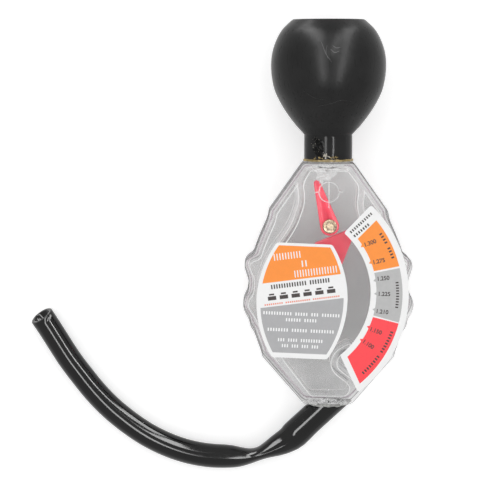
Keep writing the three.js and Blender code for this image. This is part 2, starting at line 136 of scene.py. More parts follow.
# Node helpers
def new_material(name):
    material = bpy.data.materials.new(name)
    material.use_nodes = True
    return material, material.node_tree, material.node_tree.nodes["Principled BSDF"]


def put(socket, value):
    """Gives a socket a constant, or the value of another socket"""
    if isinstance(value, bpy.types.NodeSocket):
        socket.id_data.links.new(value, socket)
    else:
        socket.default_value = value


def add(tree, kind, *inputs, **values):
    """A node with its inputs in order or by name, and its settings by name"""
    node = tree.nodes.new(kind)
    for key, value in values.items():
        if key in node.inputs:
            put(node.inputs[key], value)
        else:
            setattr(node, key, value)
    for socket, value in zip(node.inputs, inputs):
        put(socket, value)
    return node


def object_place(tree, stretch=(1, 1, 1)):
    place = add(tree, "ShaderNodeTexCoord").outputs["Object"]
    return add(tree, "ShaderNodeMapping", place, Scale=stretch).outputs[0]


def noise_value(place, scale, detail, roughness):
    tree = place.id_data
    node = add(tree, "ShaderNodeTexNoise", place, Scale=scale, Detail=detail, Roughness=roughness)
    return node.outputs["Fac"]


def spread(value, low, high, to_low, to_high):
    """The value, moved from one range to another and kept inside it"""
    return add(value.id_data, "ShaderNodeMapRange", value, low, high, to_low, to_high).outputs[0]


def blend_colours(value, first, second):
    node = add(value.id_data, "ShaderNodeMix", data_type="RGBA", Factor=value)
    sockets = [socket for socket in node.inputs if socket.type == "RGBA"]
    for socket, colour in zip(sockets, (first, second)):
        socket.default_value = (*colour, 1)
    return next(socket for socket in node.outputs if socket.type == "RGBA")


def bump(shader, height, strength, distance):
    node = add(height.id_data, "ShaderNodeBump", Height=height, Strength=strength, Distance=distance)
    put(shader.inputs["Normal"], node.outputs[0])


def calculated(operation, first, *others):
    return add(first.id_data, "ShaderNodeMath", first, *others, operation=operation).outputs[0]


def mixed(amount, first, second):
    return add(amount.id_data, "ShaderNodeMixShader", amount, first, second).outputs[0]


def describe(shader, colour, roughness, specular):
    put(shader.inputs["Base Color"], colour)
    put(shader.inputs["Roughness"], roughness)
    put(shader.inputs["Specular IOR Level"], specular)


# Meshes
def mesh_object(name, bm, materials, smooth_angle=40):
    bmesh.ops.recalc_face_normals(bm, faces=bm.faces)
    mesh = bpy.data.meshes.new(name)
    bm.to_mesh(mesh)
    bm.free()
    for material in materials:
        mesh.materials.append(material)
    piece = bpy.data.objects.new(name, mesh)
    smooth_up_to(piece, smooth_angle)
    return shown(piece)


def settle(piece, body, slot, *nodes):
    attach(piece, body)
    if nodes:
        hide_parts(*nodes)


def add_loft(bm, rings, closed=False, materials=None):
    rows = [[bm.verts.new(point) for point in ring] for ring in rings]
    pairs = list(zip(rows, rows[1:]))
    if closed:
        pairs.append((rows[-1], rows[0]))
    for index, (one, two) in enumerate(pairs):
        for i in range(len(one)):
            j = (i + 1) % len(one)
            face = bm.faces.new((one[i], one[j], two[j], two[i]))
            face.material_index = materials[index] if materials else 0
    if not closed:
        for row in (rows[0], rows[-1]):
            bm.faces.new(row)


def lofted(name, rings, materials, matrix=TESTER, smooth_angle=40):
    bm = bmesh.new()
    add_loft(bm, rings)
    bm.transform(matrix)
    return mesh_object(name, bm, materials, smooth_angle)


def body_piece(name, bm, materials, slot, *nodes, matrix=TESTER, smooth_angle=40):
    """Takes a mesh to its place on the body, attaches it to the body's root and hides the model's parts it stands
    for
    """
    bm.transform(matrix)
    settle(mesh_object(name, bm, materials, smooth_angle), "root", slot, *nodes)


def turned_at(x, y, z, turn):
    return Matrix.Translation((x, y, z)) @ Matrix.Rotation(radians(turn), 4, "Z")


def lathe_rings(profile, steps):
    """Rings round the Y axis, one for each point (radius, height) of the profile"""
    turns = [2 * pi * i / steps for i in range(steps)]
    return [[(r * sin(t), y, r * cos(t)) for t in turns] for r, y in profile]


def modified(piece, kind, **values):
    """Changes a piece's mesh by a modifier"""
    modifier = piece.modifiers.new("change", kind)
    for key, value in values.items():
        setattr(modifier, key, value)
    graph = bpy.context.evaluated_depsgraph_get()
    result = bpy.data.meshes.new_from_object(piece.evaluated_get(graph))
    piece.modifiers.clear()
    piece.data = result


def combine(base, other, operation):
    modified(base, "BOOLEAN", operation=operation, solver="MANIFOLD", object=other)
    bpy.data.objects.remove(other)


def smooth_up_to(piece, angle):
    piece.data.shade_smooth()
    piece.data.set_sharp_from_angle(angle=radians(angle))


def spline(points, step):
    """Points along a centripetal Catmull-Rom curve through the given ones, about step apart"""
    ends = [points[0] * 2 - points[1], *points, points[-1] * 2 - points[-2]]
    found = []
    for a, b, c, d in zip(ends, ends[1:], ends[2:], ends[3:]):
        t1 = (b - a).length ** 0.5
        t2 = t1 + (c - b).length ** 0.5
        t3 = t2 + (d - c).length ** 0.5
        count = max(2, round((c - b).length / step))
        for i in range(count):
            t = t1 + (t2 - t1) * i / count
            ab = a.lerp(b, t / t1)
            bc = b.lerp(c, (t - t1) / (t2 - t1))
            cd = c.lerp(d, (t - t2) / (t3 - t2))
            abc = ab.lerp(bc, t / t2)
            bcd = bc.lerp(cd, (t - t1) / (t3 - t1))
            found.append(abc.lerp(bcd, (t - t1) / (t2 - t1)))
    return [*found, points[-1]]


# Outlines: anticlockwise corners, each (x, y, how far its rounding reaches, its share of an inset)
def on_body(shares):
    return Vector((shares[0] * BODY.half_width, -shares[1] * BODY.length))


def mirrored(corners):
    return [(-x, *rest) for x, *rest in reversed(corners)]


def inset(corners, distance):
    moved = []
    for i, (x, y, reach, share) in enumerate(corners):
        at = Vector((x, y))
        before = (at - Vector(corners[i - 1][:2])).normalized()
        after = (Vector(corners[(i + 1) % len(corners)][:2]) - at).normalized()
        step = distance * share / (1 + before.dot(after))
        moved.append((x - (before.y + after.y) * step, y + (before.x + after.x) * step, reach, share))
    return moved


def rounded(corners, steps=6, most_share=0.45):
    points = []
    for i, (x, y, reach, _) in enumerate(corners):
        at = Vector((x, y))
        if reach == 0:
            points.append(at)
            continue
        ends = []
        for other in (corners[i - 1], corners[(i + 1) % len(corners)]):
            side = Vector(other[:2]) - at
            ends.append(at + side * min(reach / side.length, most_share))
        for k in range(steps + 1):
            t = k / steps
            points.append(ends[0] * (1 - t) ** 2 + at * 2 * t * (1 - t) + ends[1] * t * t)
    return points


def heading(turn):
    """The direction at an angle from the X axis"""
    return Vector((cos(radians(turn)), sin(radians(turn))))


def arc(centre, radius, low, high, steps):
    points = []
    for i in range(steps + 1):
        turn = radians(low + (high - low) * i / steps)
        points.append((centre[0] + radius * cos(turn), centre[1] + radius * sin(turn), 0, 1))
    return points


def raised(points, z):
    return [(p[0], p[1], z) for p in points]


# Materials
def rubber(name, colour, dusty, roughness, specular, grain_strength=0.12):
    material, tree, shader = new_material(name)
    place = object_place(tree)
    dust = spread(noise_value(place, 60, 5, 0.6), 0.4, 0.75, 0, 1)
    marks = noise_value(object_place(tree, (1, 0.12, 1)), 900, 3, 0.6)
    rough = spread(marks, 0.3, 0.75, *roughness)
    describe(shader, blend_colours(dust, colour, dusty), rough, specular)
    bump(shader, noise_value(place, 2600, 3, 0.6), grain_strength, 0.00008)
    return material


def coloured(name, colour, roughness, variation, grain, scale, glow=0.0):
    """Opaque plastic or ink. The glow is painted light, which makes the plastic brighter than the lamps light it.
    """
    material, tree, shader = new_material(name)
    put(shader.inputs["Emission Color"], (*colour, 1))
    put(shader.inputs["Emission Strength"], glow)
    place = object_place(tree)
    clouds = spread(noise_value(place, scale, 4, 0.6), 0.3, 0.7, 0, 1)
    darker = [c * (1 - variation) for c in colour]
    describe(shader, blend_colours(clouds, darker, colour), roughness, 0.2)
    bump(shader, noise_value(place, scale * 6, 2, 0.5), grain, 0.00005)
    return material


def ink(name, colour, roughness=0.45, variation=0.05):
    return coloured("ink_" + name, colour, roughness, variation, 0.05, 500)


# Where the chamber floor's painted shade thins towards both ends: its middle in Y, and how far from there, in
# metres
CHAMBER_SHADE_BAND = Sizes(middle=-0.022, full=0.022, thin=0.042)


def clear(
    name, colour, haze_and_painted_light, haze_and_painted_light_spread, roughness=0.2, stretch=(1, 1, 1), scale=90, shine=(0.003, 0.03),
    shade_thins_at_ends=0.0, grazing_shade=0.0,
):
    """Clear plastic: light passes, a share of its own colour stays, and it reflects by Fresnel.
    In some, such as the front shell and the glue, that share is a faint haze; in others it is painted shade, as in
    the back shell and the chamber floor, and on the inner fillets a painted highlight.
    It can thin towards the chamber's ends, and grow as painted shade where a wall is seen edge on."""
    material, tree, shader = new_material(name)
    describe(shader, (*colour, 1), 0.6, 0)
    clouds = noise_value(object_place(tree, stretch), scale, 5, 0.65)
    amount = spread(clouds, 0.35, 0.75, haze_and_painted_light - haze_and_painted_light_spread, haze_and_painted_light + haze_and_painted_light_spread)
    if shade_thins_at_ends:
        along = add(tree, "ShaderNodeSeparateXYZ", object_place(tree)).outputs["Y"]
        away = calculated("ABSOLUTE", calculated("ADD", along, -CHAMBER_SHADE_BAND.middle))
        thinner = spread(away, CHAMBER_SHADE_BAND.full, CHAMBER_SHADE_BAND.thin, 0, shade_thins_at_ends)
        amount = calculated("SUBTRACT", amount, thinner)
    facing = add(tree, "ShaderNodeLayerWeight", Blend=0.5).outputs["Facing"]
    if grazing_shade:
        amount = calculated("ADD", amount, spread(facing, 0.78, 0.92, 0, grazing_shade))
    through = add(tree, "ShaderNodeBsdfTransparent").outputs[0]
    gloss = add(tree, "ShaderNodeBsdfGlossy", Roughness=roughness).outputs[0]
    fresnel = spread(calculated("POWER", facing, 4), 0, 1, *shine)
    surface = mixed(fresnel, mixed(amount, through, shader.outputs[0]), gloss)
    put(tree.nodes["Material Output"].inputs["Surface"], surface)
    return material


def brass(name):
    material, tree, shader = new_material(name)
    place = object_place(tree)
    stains = noise_value(place, 900, 5, 0.7)
    shade = spread(stains, 0.42, 0.6, 0, 1)
    colour = blend_colours(shade, (0.12, 0.07, 0.035), (0.5, 0.39, 0.25))
    describe(shader, colour, spread(stains, 0.4, 0.62, 0.55, 0.25), 0.5)
    put(shader.inputs["Metallic"], 0.35)
    bump(shader, noise_value(place, 1500, 3, 0.6), 0.5, 0.0002)
    return material


BLACK, DUSTY_BLACK = (0.017, 0.017, 0.017), (0.024, 0.024, 0.024)
BULB_RUBBER = rubber("bulb_rubber", BLACK, DUSTY_BLACK, (0.26, 0.34), 0.08)
NECK_RUBBER = rubber("neck_rubber", BLACK, DUSTY_BLACK, (0.1, 0.14), 0.08)
HOSE_RUBBER = rubber("hose_rubber", (0.004, 0.004, 0.004), (0.008, 0.008, 0.008), (0.07, 0.13), 0.25, 0.03)
CLEAR_FRONT = clear("clear_front", (0.85, 0.85, 0.86), 0.03, 0.03, stretch=(1, 0.35, 1), scale=70)
# The back shell's grey haze is painted shade: the shade under the housing, seen through it
CLEAR_BACK = clear("clear_back", (0.29, 0.295, 0.295), 0.3, 0.03)
# The chamber floor's grey haze is painted shade, darkest in the chamber's middle and thinner towards its ends
CHAMBER_FLOOR = clear(
    "chamber_floor", (0.26, 0.265, 0.265), 0.41, 0.02, stretch=(1, 0.1, 1), scale=240, shade_thins_at_ends=0.17
)
# Painted highlights: white lines on the rounded inner edges of the walls
PAINTED_EDGE_HIGHLIGHT = clear("painted_edge_highlight", (1, 1, 1), 0.8, 0.15)
# Painted shade: dark lines on the outer rounded edges and the joint's chamfers
PAINTED_EDGE_SHADE = clear("painted_edge_shade", (0.12, 0.116, 0.12), 0.56, 0.1, 0.25)
# Painted shade on the outer walls' sides, darker where they are seen edge on
WALL_SIDE = clear("wall_side", (0.16, 0.155, 0.16), 0.06, 0.02, 0.35, shine=(0.002, 0.01), grazing_shade=0.42)
WALL_TOP = clear("wall_top", (0.5, 0.5, 0.505), 0.16, 0.05, 0.35)
WELD = clear("weld_seam", (0.5, 0.4, 0.46), 0.36, 0.08, 0.4, shine=(0.002, 0.02))
MOULD_MARK = clear("moulded_mark", (0.95, 0.95, 0.95), 0.34, 0.16)
CLEAR_GLUE = clear("clear_glue", (0.62, 0.62, 0.6), 0.55, 0.25, scale=700)
GLUE_SMEAR = clear("glue_smear", (0.95, 0.95, 0.95), 0.24, 0.24, 0.25, scale=1500)
DARK_GLUE = rubber("dark_glue", (0.002, 0.002, 0.002), (0.004, 0.004, 0.004), (0.08, 0.12), 0.1)
PALE_GLUE = coloured("pale_glue", (0.62, 0.58, 0.5), 0.3, 0.5, 0.2, 900)
AMBER_GLUE = coloured("amber_glue", (0.5, 0.36, 0.13), 0.35, 0.75, 0.4, 700)
SCRATCH = rubber("scratched_rubber", (0.05, 0.05, 0.05), (0.08, 0.08, 0.08), (0.4, 0.5), 0.2)
# The red plastic's glow is painted light, which keeps it bright under the clear face
RED = coloured("red_plastic", (0.98, 0.06, 0.11), 0.3, 0.18, 0.08, 300, 0.14)
BRASS = brass("brass")
WHITE_FILM = coloured("label_white", (0.88, 0.88, 0.88), 0.4, 0.03, 0.05, 200)
ORANGE_INK = ink("orange", (0.98, 0.28, 0.02))
GREY_INK = ink("grey", (0.41, 0.41, 0.42))
PALE_GREY_INK = ink("pale_grey", (0.48, 0.48, 0.48), variation=0.08)
RED_INK = ink("red", (1.0, 0.045, 0.06))
RUST_INK = ink("rust", (0.83, 0.2, 0.11))
DARK_INK = ink("dark", (0.035, 0.025, 0.025), 0.5, 0.1)
WHITE_INK = ink("white", (0.9, 0.9, 0.9), variation=0.03)


# The hose: a stretched sleeve on the nozzle, a kink just past it, and an open slanting end
KINK = Sizes(at=18.5, spread=9, depth=0.43, rise=0.22)
# How the sleeve stands out on its outer side, and the furthest its first ring reaches from the route
FULLER = Sizes(
    sleeve=0.08, side=0.09, side_from=-4, side_fade=12, corner=0.12, corner_at=3, spread=9, most=9.2
)
# The fold just past the nozzle: a flat facet beside a ridge, by angles round the hose and by distance
FOLD = Sizes(turn=91, share=0.78, depth=0.9, crease=80, ridge=105, start=-0.5, full=2.5, fade=7, end=20)
HOSE_SIDES = 72
HOSE_STEP = 1.5
# Where the sleeve narrows to the hose, from the nozzle's end
NARROWING = Sizes(start=-1, length=5)
# In metres: the first whole ring, the last one before the end, the gap that keeps the hose off the floor
HOSE_WHOLE = Sizes(first=0.011, last=0.004, floor_gap=0.00004)
HOSE_RIM = 0.25


def nozzle_way():
    return heading(180 + NOZZLE.angle).to_3d()


def hose_path():
    way = (TESTER.to_3x3() @ nozzle_way()).normalized()
    root = TESTER @ Vector((NOZZLE.root_x, -BODY.length, 0))
    start = root + way * (CLEARANCE / -nozzle_way().y * MM)
    nozzle_end = root + way * (NOZZLE.length + CLEARANCE) * MM
    points = [start.lerp(nozzle_end, share) for share in (0, 0.25, 0.5, 0.75)] + [nozzle_end]
    points += [Vector((nozzle_end.x + x, nozzle_end.y + y, z)) for x, y, z in hose_route]
    return spline(points, HOSE_STEP * MM), way


def lengths_along(path):
    found = [0.0]
    for one, two in zip(path, path[1:]):
        found.append(found[-1] + (two - one).length)
    return found


def bell(value, centre, width):
    return exp(-(((value - centre) / width) ** 2))


def smooth_step(value, low, high):
    share = min(1, max(0, (value - low) / (high - low)))
    return share * share * (3 - 2 * share)


def faded(value, start, length):
    """1 up to the start, and 0 from a length past it"""
    return 1 - min(1, max(0, (value - start) / length))


def hose_ring(centre, way, past, radius):
    """One ring of the hose. past is the distance past the nozzle's end, in millimetres."""
    side = way.cross(Vector((0, 0, 1))).normalized()
    up = side.cross(way)
    sleeve = HOSE.sleeve + FULLER.sleeve - HOSE.radius
    grown = radius + sleeve * faded(past, NARROWING.start, NARROWING.length)
    fuller = 1 + FULLER.side * faded(past, FULLER.side_from, FULLER.side_fade)
    fuller += FULLER.corner * bell(past, FULLER.corner_at, FULLER.spread)
    pinch = 1 - KINK.depth * bell(past, KINK.at, KINK.spread)
    wall = HOSE.radius - HOSE.bore
    outside = radius == HOSE.radius
    wide = grown * pinch if outside else (grown + wall) * pinch - wall
    tall = grown + (sqrt(2 * grown**2 - wide**2) - grown) * KINK.rise
    fold = smooth_step(past, FOLD.start, FOLD.full) * (1 - smooth_step(past, FOLD.fade, FOLD.end))
    lift = max(0.0, tall * MM - centre.z + HOSE_WHOLE.floor_gap) if past > 0 else 0.0
    points = []
    for i in range(HOSE_SIDES):
        turn = 2 * pi * i / HOSE_SIDES
        across, over = wide * cos(turn), tall * sin(turn)
        if across < 0 and outside:
            across *= fuller
        facet = FOLD.share / max(0.1, cos(turn - radians(FOLD.turn)))
        ridge = smooth_step(degrees(turn), FOLD.crease, FOLD.ridge)
        scale = 1 - max(0, 1 - facet) * FOLD.depth * (1 - ridge) * fold if outside else 1
        points.append(centre + (side * across + up * over) * MM * scale + Vector((0, 0, lift)))
    return points


def cut_by(points, way, on_plane, normal):
    """Slides each point along way until it lies in a plane"""
    return [p + way * ((on_plane - p).dot(normal) / way.dot(normal)) for p in points]


def make_hose():
    path, nozzle = hose_path()
    along = lengths_along(path)
    sleeve_length = (NOZZLE.length + CLEARANCE) * MM - CLEARANCE / -nozzle_way().y * MM
    last = len(path) - 1
    edge_point = TESTER @ Vector((0, -BODY.length - CLEARANCE, 0))

    def ring(i, radius):
        way = (path[min(i + 1, last)] - path[max(i - 1, 0)]).normalized()
        if along[i] < sleeve_length:
            way = nozzle
        return hose_ring(path[i], way, (along[i] - sleeve_length) / MM, radius)

    first_whole = next(i for i in range(last) if along[i] > HOSE_WHOLE.first)
    end_way = (path[last] - path[last - 2]).normalized()
    slant = radians(HOSE.slant)
    end_face = end_way * cos(slant) + Vector((0, 0, sin(slant)))
    last_whole = next(i for i in range(last, 0, -1) if along[last] - along[i] > HOSE_WHOLE.last)
    first = []
    for point in ring(0, HOSE.radius):
        slid = cut_by([point], nozzle, edge_point, ALONG)[0]
        reach = sqrt((FULLER.most * MM) ** 2 - (point - path[0]).length ** 2)
        back = (slid - point).dot(nozzle)
        first.append(point + nozzle * max(back, -reach))
    outer = [first] + [ring(i, HOSE.radius) for i in range(first_whole, last_whole + 1)]
    end_centre = path[last]

    def end_ring(radius, back):
        points = hose_ring(end_centre, end_way, 100, radius)
        return [p - end_way * back for p in cut_by(points, end_way, end_centre, end_face)]

    outer += [end_ring(HOSE.radius, HOSE_RIM * MM), end_ring(HOSE.radius - HOSE_RIM, 0)]
    inner = [end_ring(HOSE.bore + HOSE_RIM, 0), end_ring(HOSE.bore, HOSE_RIM * MM)]
    inner += [ring(i, HOSE.bore) for i in range(last_whole, first_whole - 1, -3)]
    inner.append(cut_by(ring(0, HOSE.bore), nozzle, edge_point, ALONG))
    bm = bmesh.new()
    add_loft(bm, outer + inner, closed=True)
    piece = mesh_object("rubber_hose", bm, [HOSE_RUBBER], 50)
    settle(piece, "root", "hose_rubber", "hose")


make_hose()


# The clear shells
body_side_shares = [
    (0.277, 1, 0.02), (0.327, 0.988, 0.03), (0.824, 0.798, 0.03), (0.829, 0.784, 0.03),
    (0.924, 0.695, 0.04), (0.968, 0.676, 0.04, 0.9), (0.985, 0.645, 0.08, 0.75),
    (1.035, 0.619, 0.09, 0.65), (1.063, 0.59, 0.09, 0.65), (1.048, 0.561, 0.09, 0.65),
    (1, 0.534, 0.08, 0.75), (0.988, 0.484, 0.08, 0.75), (1.015, 0.458, 0.09, 0.65),
    (1.048, 0.425, 0.09, 0.65), (1.02, 0.396, 0.1, 0.7), (0.928, 0.375, 0.04),
    (0.87, 0.32, 0.1), (0.75, 0.229, 0.08), (0.737, 0.198, 0.03), (0.315, 0, 0.02),
]
channel_shares = [
    (0.395, 0.226, 0.12), (0.357, 0.177, 0.12), (0.381, 0.12, 0.12), (0.37, 0.087, 0.05),
    (0.21, 0.019, 0.02), (-0.21, 0.019, 0.02), (-0.327, 0.083, 0.08), (-0.303, 0.136, 0.1),
    (-0.314, 0.178, 0.1), (-0.414, 0.273, 0.2), (-0.703, 0.404, 0.2), (-0.797, 0.5, 0.2),
    (-0.797, 0.61, 0.2), (-0.73, 0.717, 0.2), (-0.576, 0.815, 0.1), (-0.216, 0.97, 0.04),
    (0.232, 0.97, 0.04), (0.288, 0.938, 0.04), (0.255, 0.913, 0.05), (0.083, 0.872, 0.1),
    (0.032, 0.835, 0.1), (0.083, 0.783, 0.1), (0.265, 0.749, 0.05),
]


def body_corners(shares):
    return [(*on_body(row), row[2] * BODY.half_width, row[3] if len(row) > 3 else 1) for row in shares]


FLOAT_PIVOT = on_body(float_pivot_shares)
NEEDLE_PIVOT = on_body(needle_pivot_shares)
INNER_HALF = BODY.half_depth - BODY.face
FLOAT_Z = float_level_share * INNER_HALF
NEEDLE_Z = needle_level_share * INNER_HALF
right_side = body_corners(body_side_shares)
BODY_OUTLINE = right_side + mirrored(right_side)
swept = arc(FLOAT_PIVOT, FLOAT.reach + CLEARANCE, -FLOAT_PLATE.sweep, FLOAT_PLATE.sweep, 24)
CHAMBER_OUTLINE = swept + body_corners(channel_shares)
# Kinds of surface, in the order of a shell's materials. The painted highlight is a white line on the inner
# fillets, the painted rim shade a dark line on the outer rounded edge.
PLAIN, PAINTED_HIGHLIGHT, PAINTED_RIM_SHADE, WELDED, FLOOR, TOP, SIDE = range(7)


def quarter(steps=4):
    """Pairs of sine and cosine from 0 to 90 degrees"""
    return [(sin(pi / 2 * k / steps), cos(pi / 2 * k / steps)) for k in range(steps + 1)]


def tray(side, surfaces):
    """A face plate with the outer wall round it: rings from the plate's face, over the wall, inside"""
    edge, wall, fillet, low = BODY.edge, BODY.wall, CHAMBER.fillet, JOINT.gap
    rows = [(edge * (1 - s), BODY.half_depth - edge * (1 - c)) for s, c in quarter()]
    rows += [(0, low + JOINT.edge), (JOINT.edge, low), (JOINT.weld_low, low), (JOINT.weld_high, low)]
    rows += [(wall - JOINT.edge, low), (wall, low + JOINT.edge)]
    rows += [(wall + fillet * (1 - c), INNER_HALF - fillet * (1 - s)) for s, c in quarter()]
    # Painted shade on the outer rounding, on the outer side and on the joint's chamfer; painted highlights on the
    # inner fillet
    kinds = [PLAIN, PLAIN, PAINTED_RIM_SHADE, PAINTED_RIM_SHADE, SIDE, PAINTED_RIM_SHADE, TOP, WELDED, TOP, TOP, PLAIN] + [PAINTED_HIGHLIGHT] * 4
    bm = bmesh.new()
    rings = [raised(rounded(inset(BODY_OUTLINE, d)), side * z) for d, z in rows]
    add_loft(bm, rings, materials=kinds)
    return mesh_object("tray", bm, surfaces)


def chamber_wall(side, thickness, surfaces):
    fillet, edge, low, sunk = CHAMBER.fillet, JOINT.edge, JOINT.gap, INNER_HALF + BODY.face / 2
    inner = [(fillet * (1 - c), INNER_HALF - fillet * (1 - s)) for s, c in quarter()]
    outer = [(-thickness - d, z) for d, z in inner]
    rows = [(fillet, sunk), *reversed(inner), (0, low + edge), (-edge, low), (edge - thickness, low)]
    rows += [(-thickness, low + edge), *outer, (-thickness - fillet, sunk)]
    # Painted highlights on the fillets at both feet of the wall
    kinds = [PLAIN] + [PAINTED_HIGHLIGHT] * 4 + [PLAIN, TOP, TOP, TOP, PLAIN] + [PAINTED_HIGHLIGHT] * 4 + [PLAIN, PLAIN]
    rings = []
    for d, z in rows:
        points = rounded(inset(CHAMBER_OUTLINE, d))
        rings.append([(p.x, min(p.y, -BODY.edge), side * z) for p in points])
    bm = bmesh.new()
    add_loft(bm, rings, closed=True, materials=kinds)
    return mesh_object("wall", bm, surfaces)


def rod_between(low, high, radius, steps, surfaces):
    """A round rod between two points of the tester"""
    low, high = Vector(low), Vector(high)
    long = (high - low).length
    turn = (high - low).to_track_quat("Z", "Y").to_matrix().to_4x4()
    bm = bmesh.new()
    bmesh.ops.create_cone(bm, cap_ends=True, segments=steps, radius1=radius, radius2=radius, depth=long)
    bm.transform(Matrix.Translation((low + high) / 2) @ turn)
    return mesh_object("rod", bm, surfaces)


def big_cube(middle, size):
    """A cube that keeps what lies in it of another piece"""
    bm = bmesh.new()
    bmesh.ops.create_cube(bm, size=size)
    bm.transform(Matrix.Translation(middle))
    return mesh_object("keep", bm, [])


def half_rod(low, high, radius, side, surfaces):
    rod = rod_between(low, high, radius, 48, surfaces)
    size = BODY.length * 3
    combine(rod, big_cube((0, 0, side * (size / 2 + JOINT.gap)), size), "INTERSECT")
    return rod


def make_shell(name, side, node, body_material, wall_thickness):
    surfaces = [body_material, PAINTED_EDGE_HIGHLIGHT, PAINTED_EDGE_SHADE, WELD, CHAMBER_FLOOR, WALL_TOP, WALL_SIDE]
    shell = tray(side, surfaces)
    combine(shell, chamber_wall(side, wall_thickness, surfaces), "UNION")
    way, root = nozzle_way(), Vector((NOZZLE.root_x, -BODY.length, 0))
    nozzle = (root - way * OVERRUN, root + way * NOZZLE.length, NOZZLE.radius)
    spigot = ((0, OVERRUN - BODY.wall, 0), (0, SPIGOT.length, 0), SPIGOT.radius)
    for low, high, radius in (spigot, nozzle):
        combine(shell, half_rod(low, high, radius, side, surfaces), "UNION")
    posts = [(FLOAT_PIVOT, FLOAT_Z + side * (FLOAT_PLATE.half + CLEARANCE), FLOAT_PIN)]
    if side < 0:
        posts.append((NEEDLE_PIVOT, NEEDLE_Z - NEEDLE.half - CLEARANCE, NEEDLE_PIN))
    rods = [
        ("DIFFERENCE", (0, -BODY.wall - OVERRUN, 0), (0, SPIGOT.length + OVERRUN, 0), SPIGOT.bore, 48),
        ("DIFFERENCE", root - way * BODY.wall * 3, root + way * (NOZZLE.length + OVERRUN), NOZZLE.bore, 32),
    ]
    for pivot, height, pin in posts:
        foot, end = side * (INNER_HALF + BODY.face / 2), height + side * pin.seat
        rods.append(("UNION", (*pivot, foot), (*pivot, height), pin.post, 32))
        hole = pin.radius + CLEARANCE
        rods.append(("DIFFERENCE", (*pivot, height - side * OVERRUN), (*pivot, end), hole, 24))
    for operation, low, high, radius, steps in rods:
        combine(shell, rod_between(low, high, radius, steps, surfaces), operation)
    if side < 0:
        paint_chamber_floor(shell)
    shell.data.transform(TESTER)
    smooth_up_to(shell, 35)
    # The large faces set the shading, so that flat faces look flat up to their rounded edges
    modified(shell, "WEIGHTED_NORMAL", keep_sharp=True, weight=100)
    shell.name = name
    settle(shell, "root", "clear_plastic", node)


def inside(point, outline):
    """Whether a point lies in a closed outline"""
    hit = False
    for one, two in zip(outline, outline[1:] + outline[:1]):
        if (one.y > point.y) != (two.y > point.y):
            if point.x < (two.x - one.x) * (point.y - one.y) / (two.y - one.y) + one.x:
                hit = not hit
    return hit


# The back shell's face plate inside the chamber takes the chamber floor's painted shade
def paint_chamber_floor(shell):
    outline = rounded(CHAMBER_OUTLINE)
    for face in shell.data.polygons:
        level = 1 - BODY.half_depth < face.center.z < 0.01 - INNER_HALF
        if level and face.material_index == PLAIN and inside(face.center.xy, outline):
            face.material_index = FLOOR


make_shell("clear_front_shell", 1, "front_shell", CLEAR_FRONT, CHAMBER.front_wall)
make_shell("clear_back_shell", -1, "back_shell", CLEAR_BACK, CHAMBER.back_wall)


# The moulded ring, line and ticks on the face
def add_prism(bm, outline, low, high):
    rows = [[bm.verts.new((p[0], p[1], z)) for p in outline] for z in (low, high)]
    for i in range(len(outline)):
        j = (i + 1) % len(outline)
        bm.faces.new((rows[0][i], rows[0][j], rows[1][j], rows[1][i]))
    for row in rows:
        bm.faces.new(row)


def box_outline(x, y, width, height, turn=0.0):
    at, across, up = Vector((x, y)), heading(turn) * width / 2, heading(turn + 90) * height / 2
    return [at - across - up, at + across - up, at + across + up, at - across + up]


# The small round mark that the mould's inlet left near the bottom of the face
GATE = Sizes(place=(-0.05, -104.6), radius=0.45, lower=0.1)


def make_sight_mark():
    x, y = on_body(sight_shares)
    low, high = BODY.half_depth - SIGHT.sunk, BODY.half_depth + SIGHT.height
    bm = bmesh.new()
    rings = []
    for share, z in ((-1, low), (-SIGHT.top_share, high), (SIGHT.top_share, high), (1, low)):
        radius = SIGHT.radius + SIGHT.line * share / 2
        rings.append(raised(arc((x, y), radius, 0, 360, 64)[:-1], z))
    add_loft(bm, rings, closed=True)
    across = SIGHT.radius + SIGHT.tick / 2
    bars = [
        (0, SIGHT.radius - SIGHT.length / 2, SIGHT.line, SIGHT.length),
        (across, 0, SIGHT.tick, SIGHT.line),
        (-across, 0, SIGHT.tick, SIGHT.line),
    ]
    for dx, dy, width, height in bars:
        add_prism(bm, box_outline(x + dx, y + dy, width, height), low, high - LABEL.ink)
    add_prism(bm, arc(GATE.place, GATE.radius, 0, 360, 16)[:-1], low, high - GATE.lower)
    body_piece("moulded_sight_mark", bm, [MOULD_MARK], "clear_plastic")


make_sight_mark()


# The two labels: white films with printed fields, generic bars in place of words, and plain numbers
FILM_LOW = BODY.half_depth + LABEL.clearance
FILM_TOP = FILM_LOW + LABEL.thickness
PRINT_TOP = FILM_TOP + LABEL.print
INK_TOP = PRINT_TOP + LABEL.ink
MAIN_MATRIX = TESTER @ turned_at(*on_body(main_label_shares), 0, MAIN.turn)
SCALE_MATRIX = TESTER @ Matrix.Translation((*FLOAT_PIVOT, 0))


def prints(name, outlines, material, matrix, low=FILM_TOP, high=PRINT_TOP, *nodes):
    bm = bmesh.new()
    for outline in outlines:
        add_prism(bm, outline, low, high)
    body_piece(name, bm, [material], "label_film", *nodes, matrix=matrix)


def side_at(y):
    """Half width of the main label at a height, from the arc through its corners and its middle"""
    bulge = MAIN.middle_half - MAIN.end_half
    radius = (MAIN.half_height**2 + bulge**2) / (2 * bulge)
    return MAIN.middle_half - radius + sqrt(radius**2 - y**2)


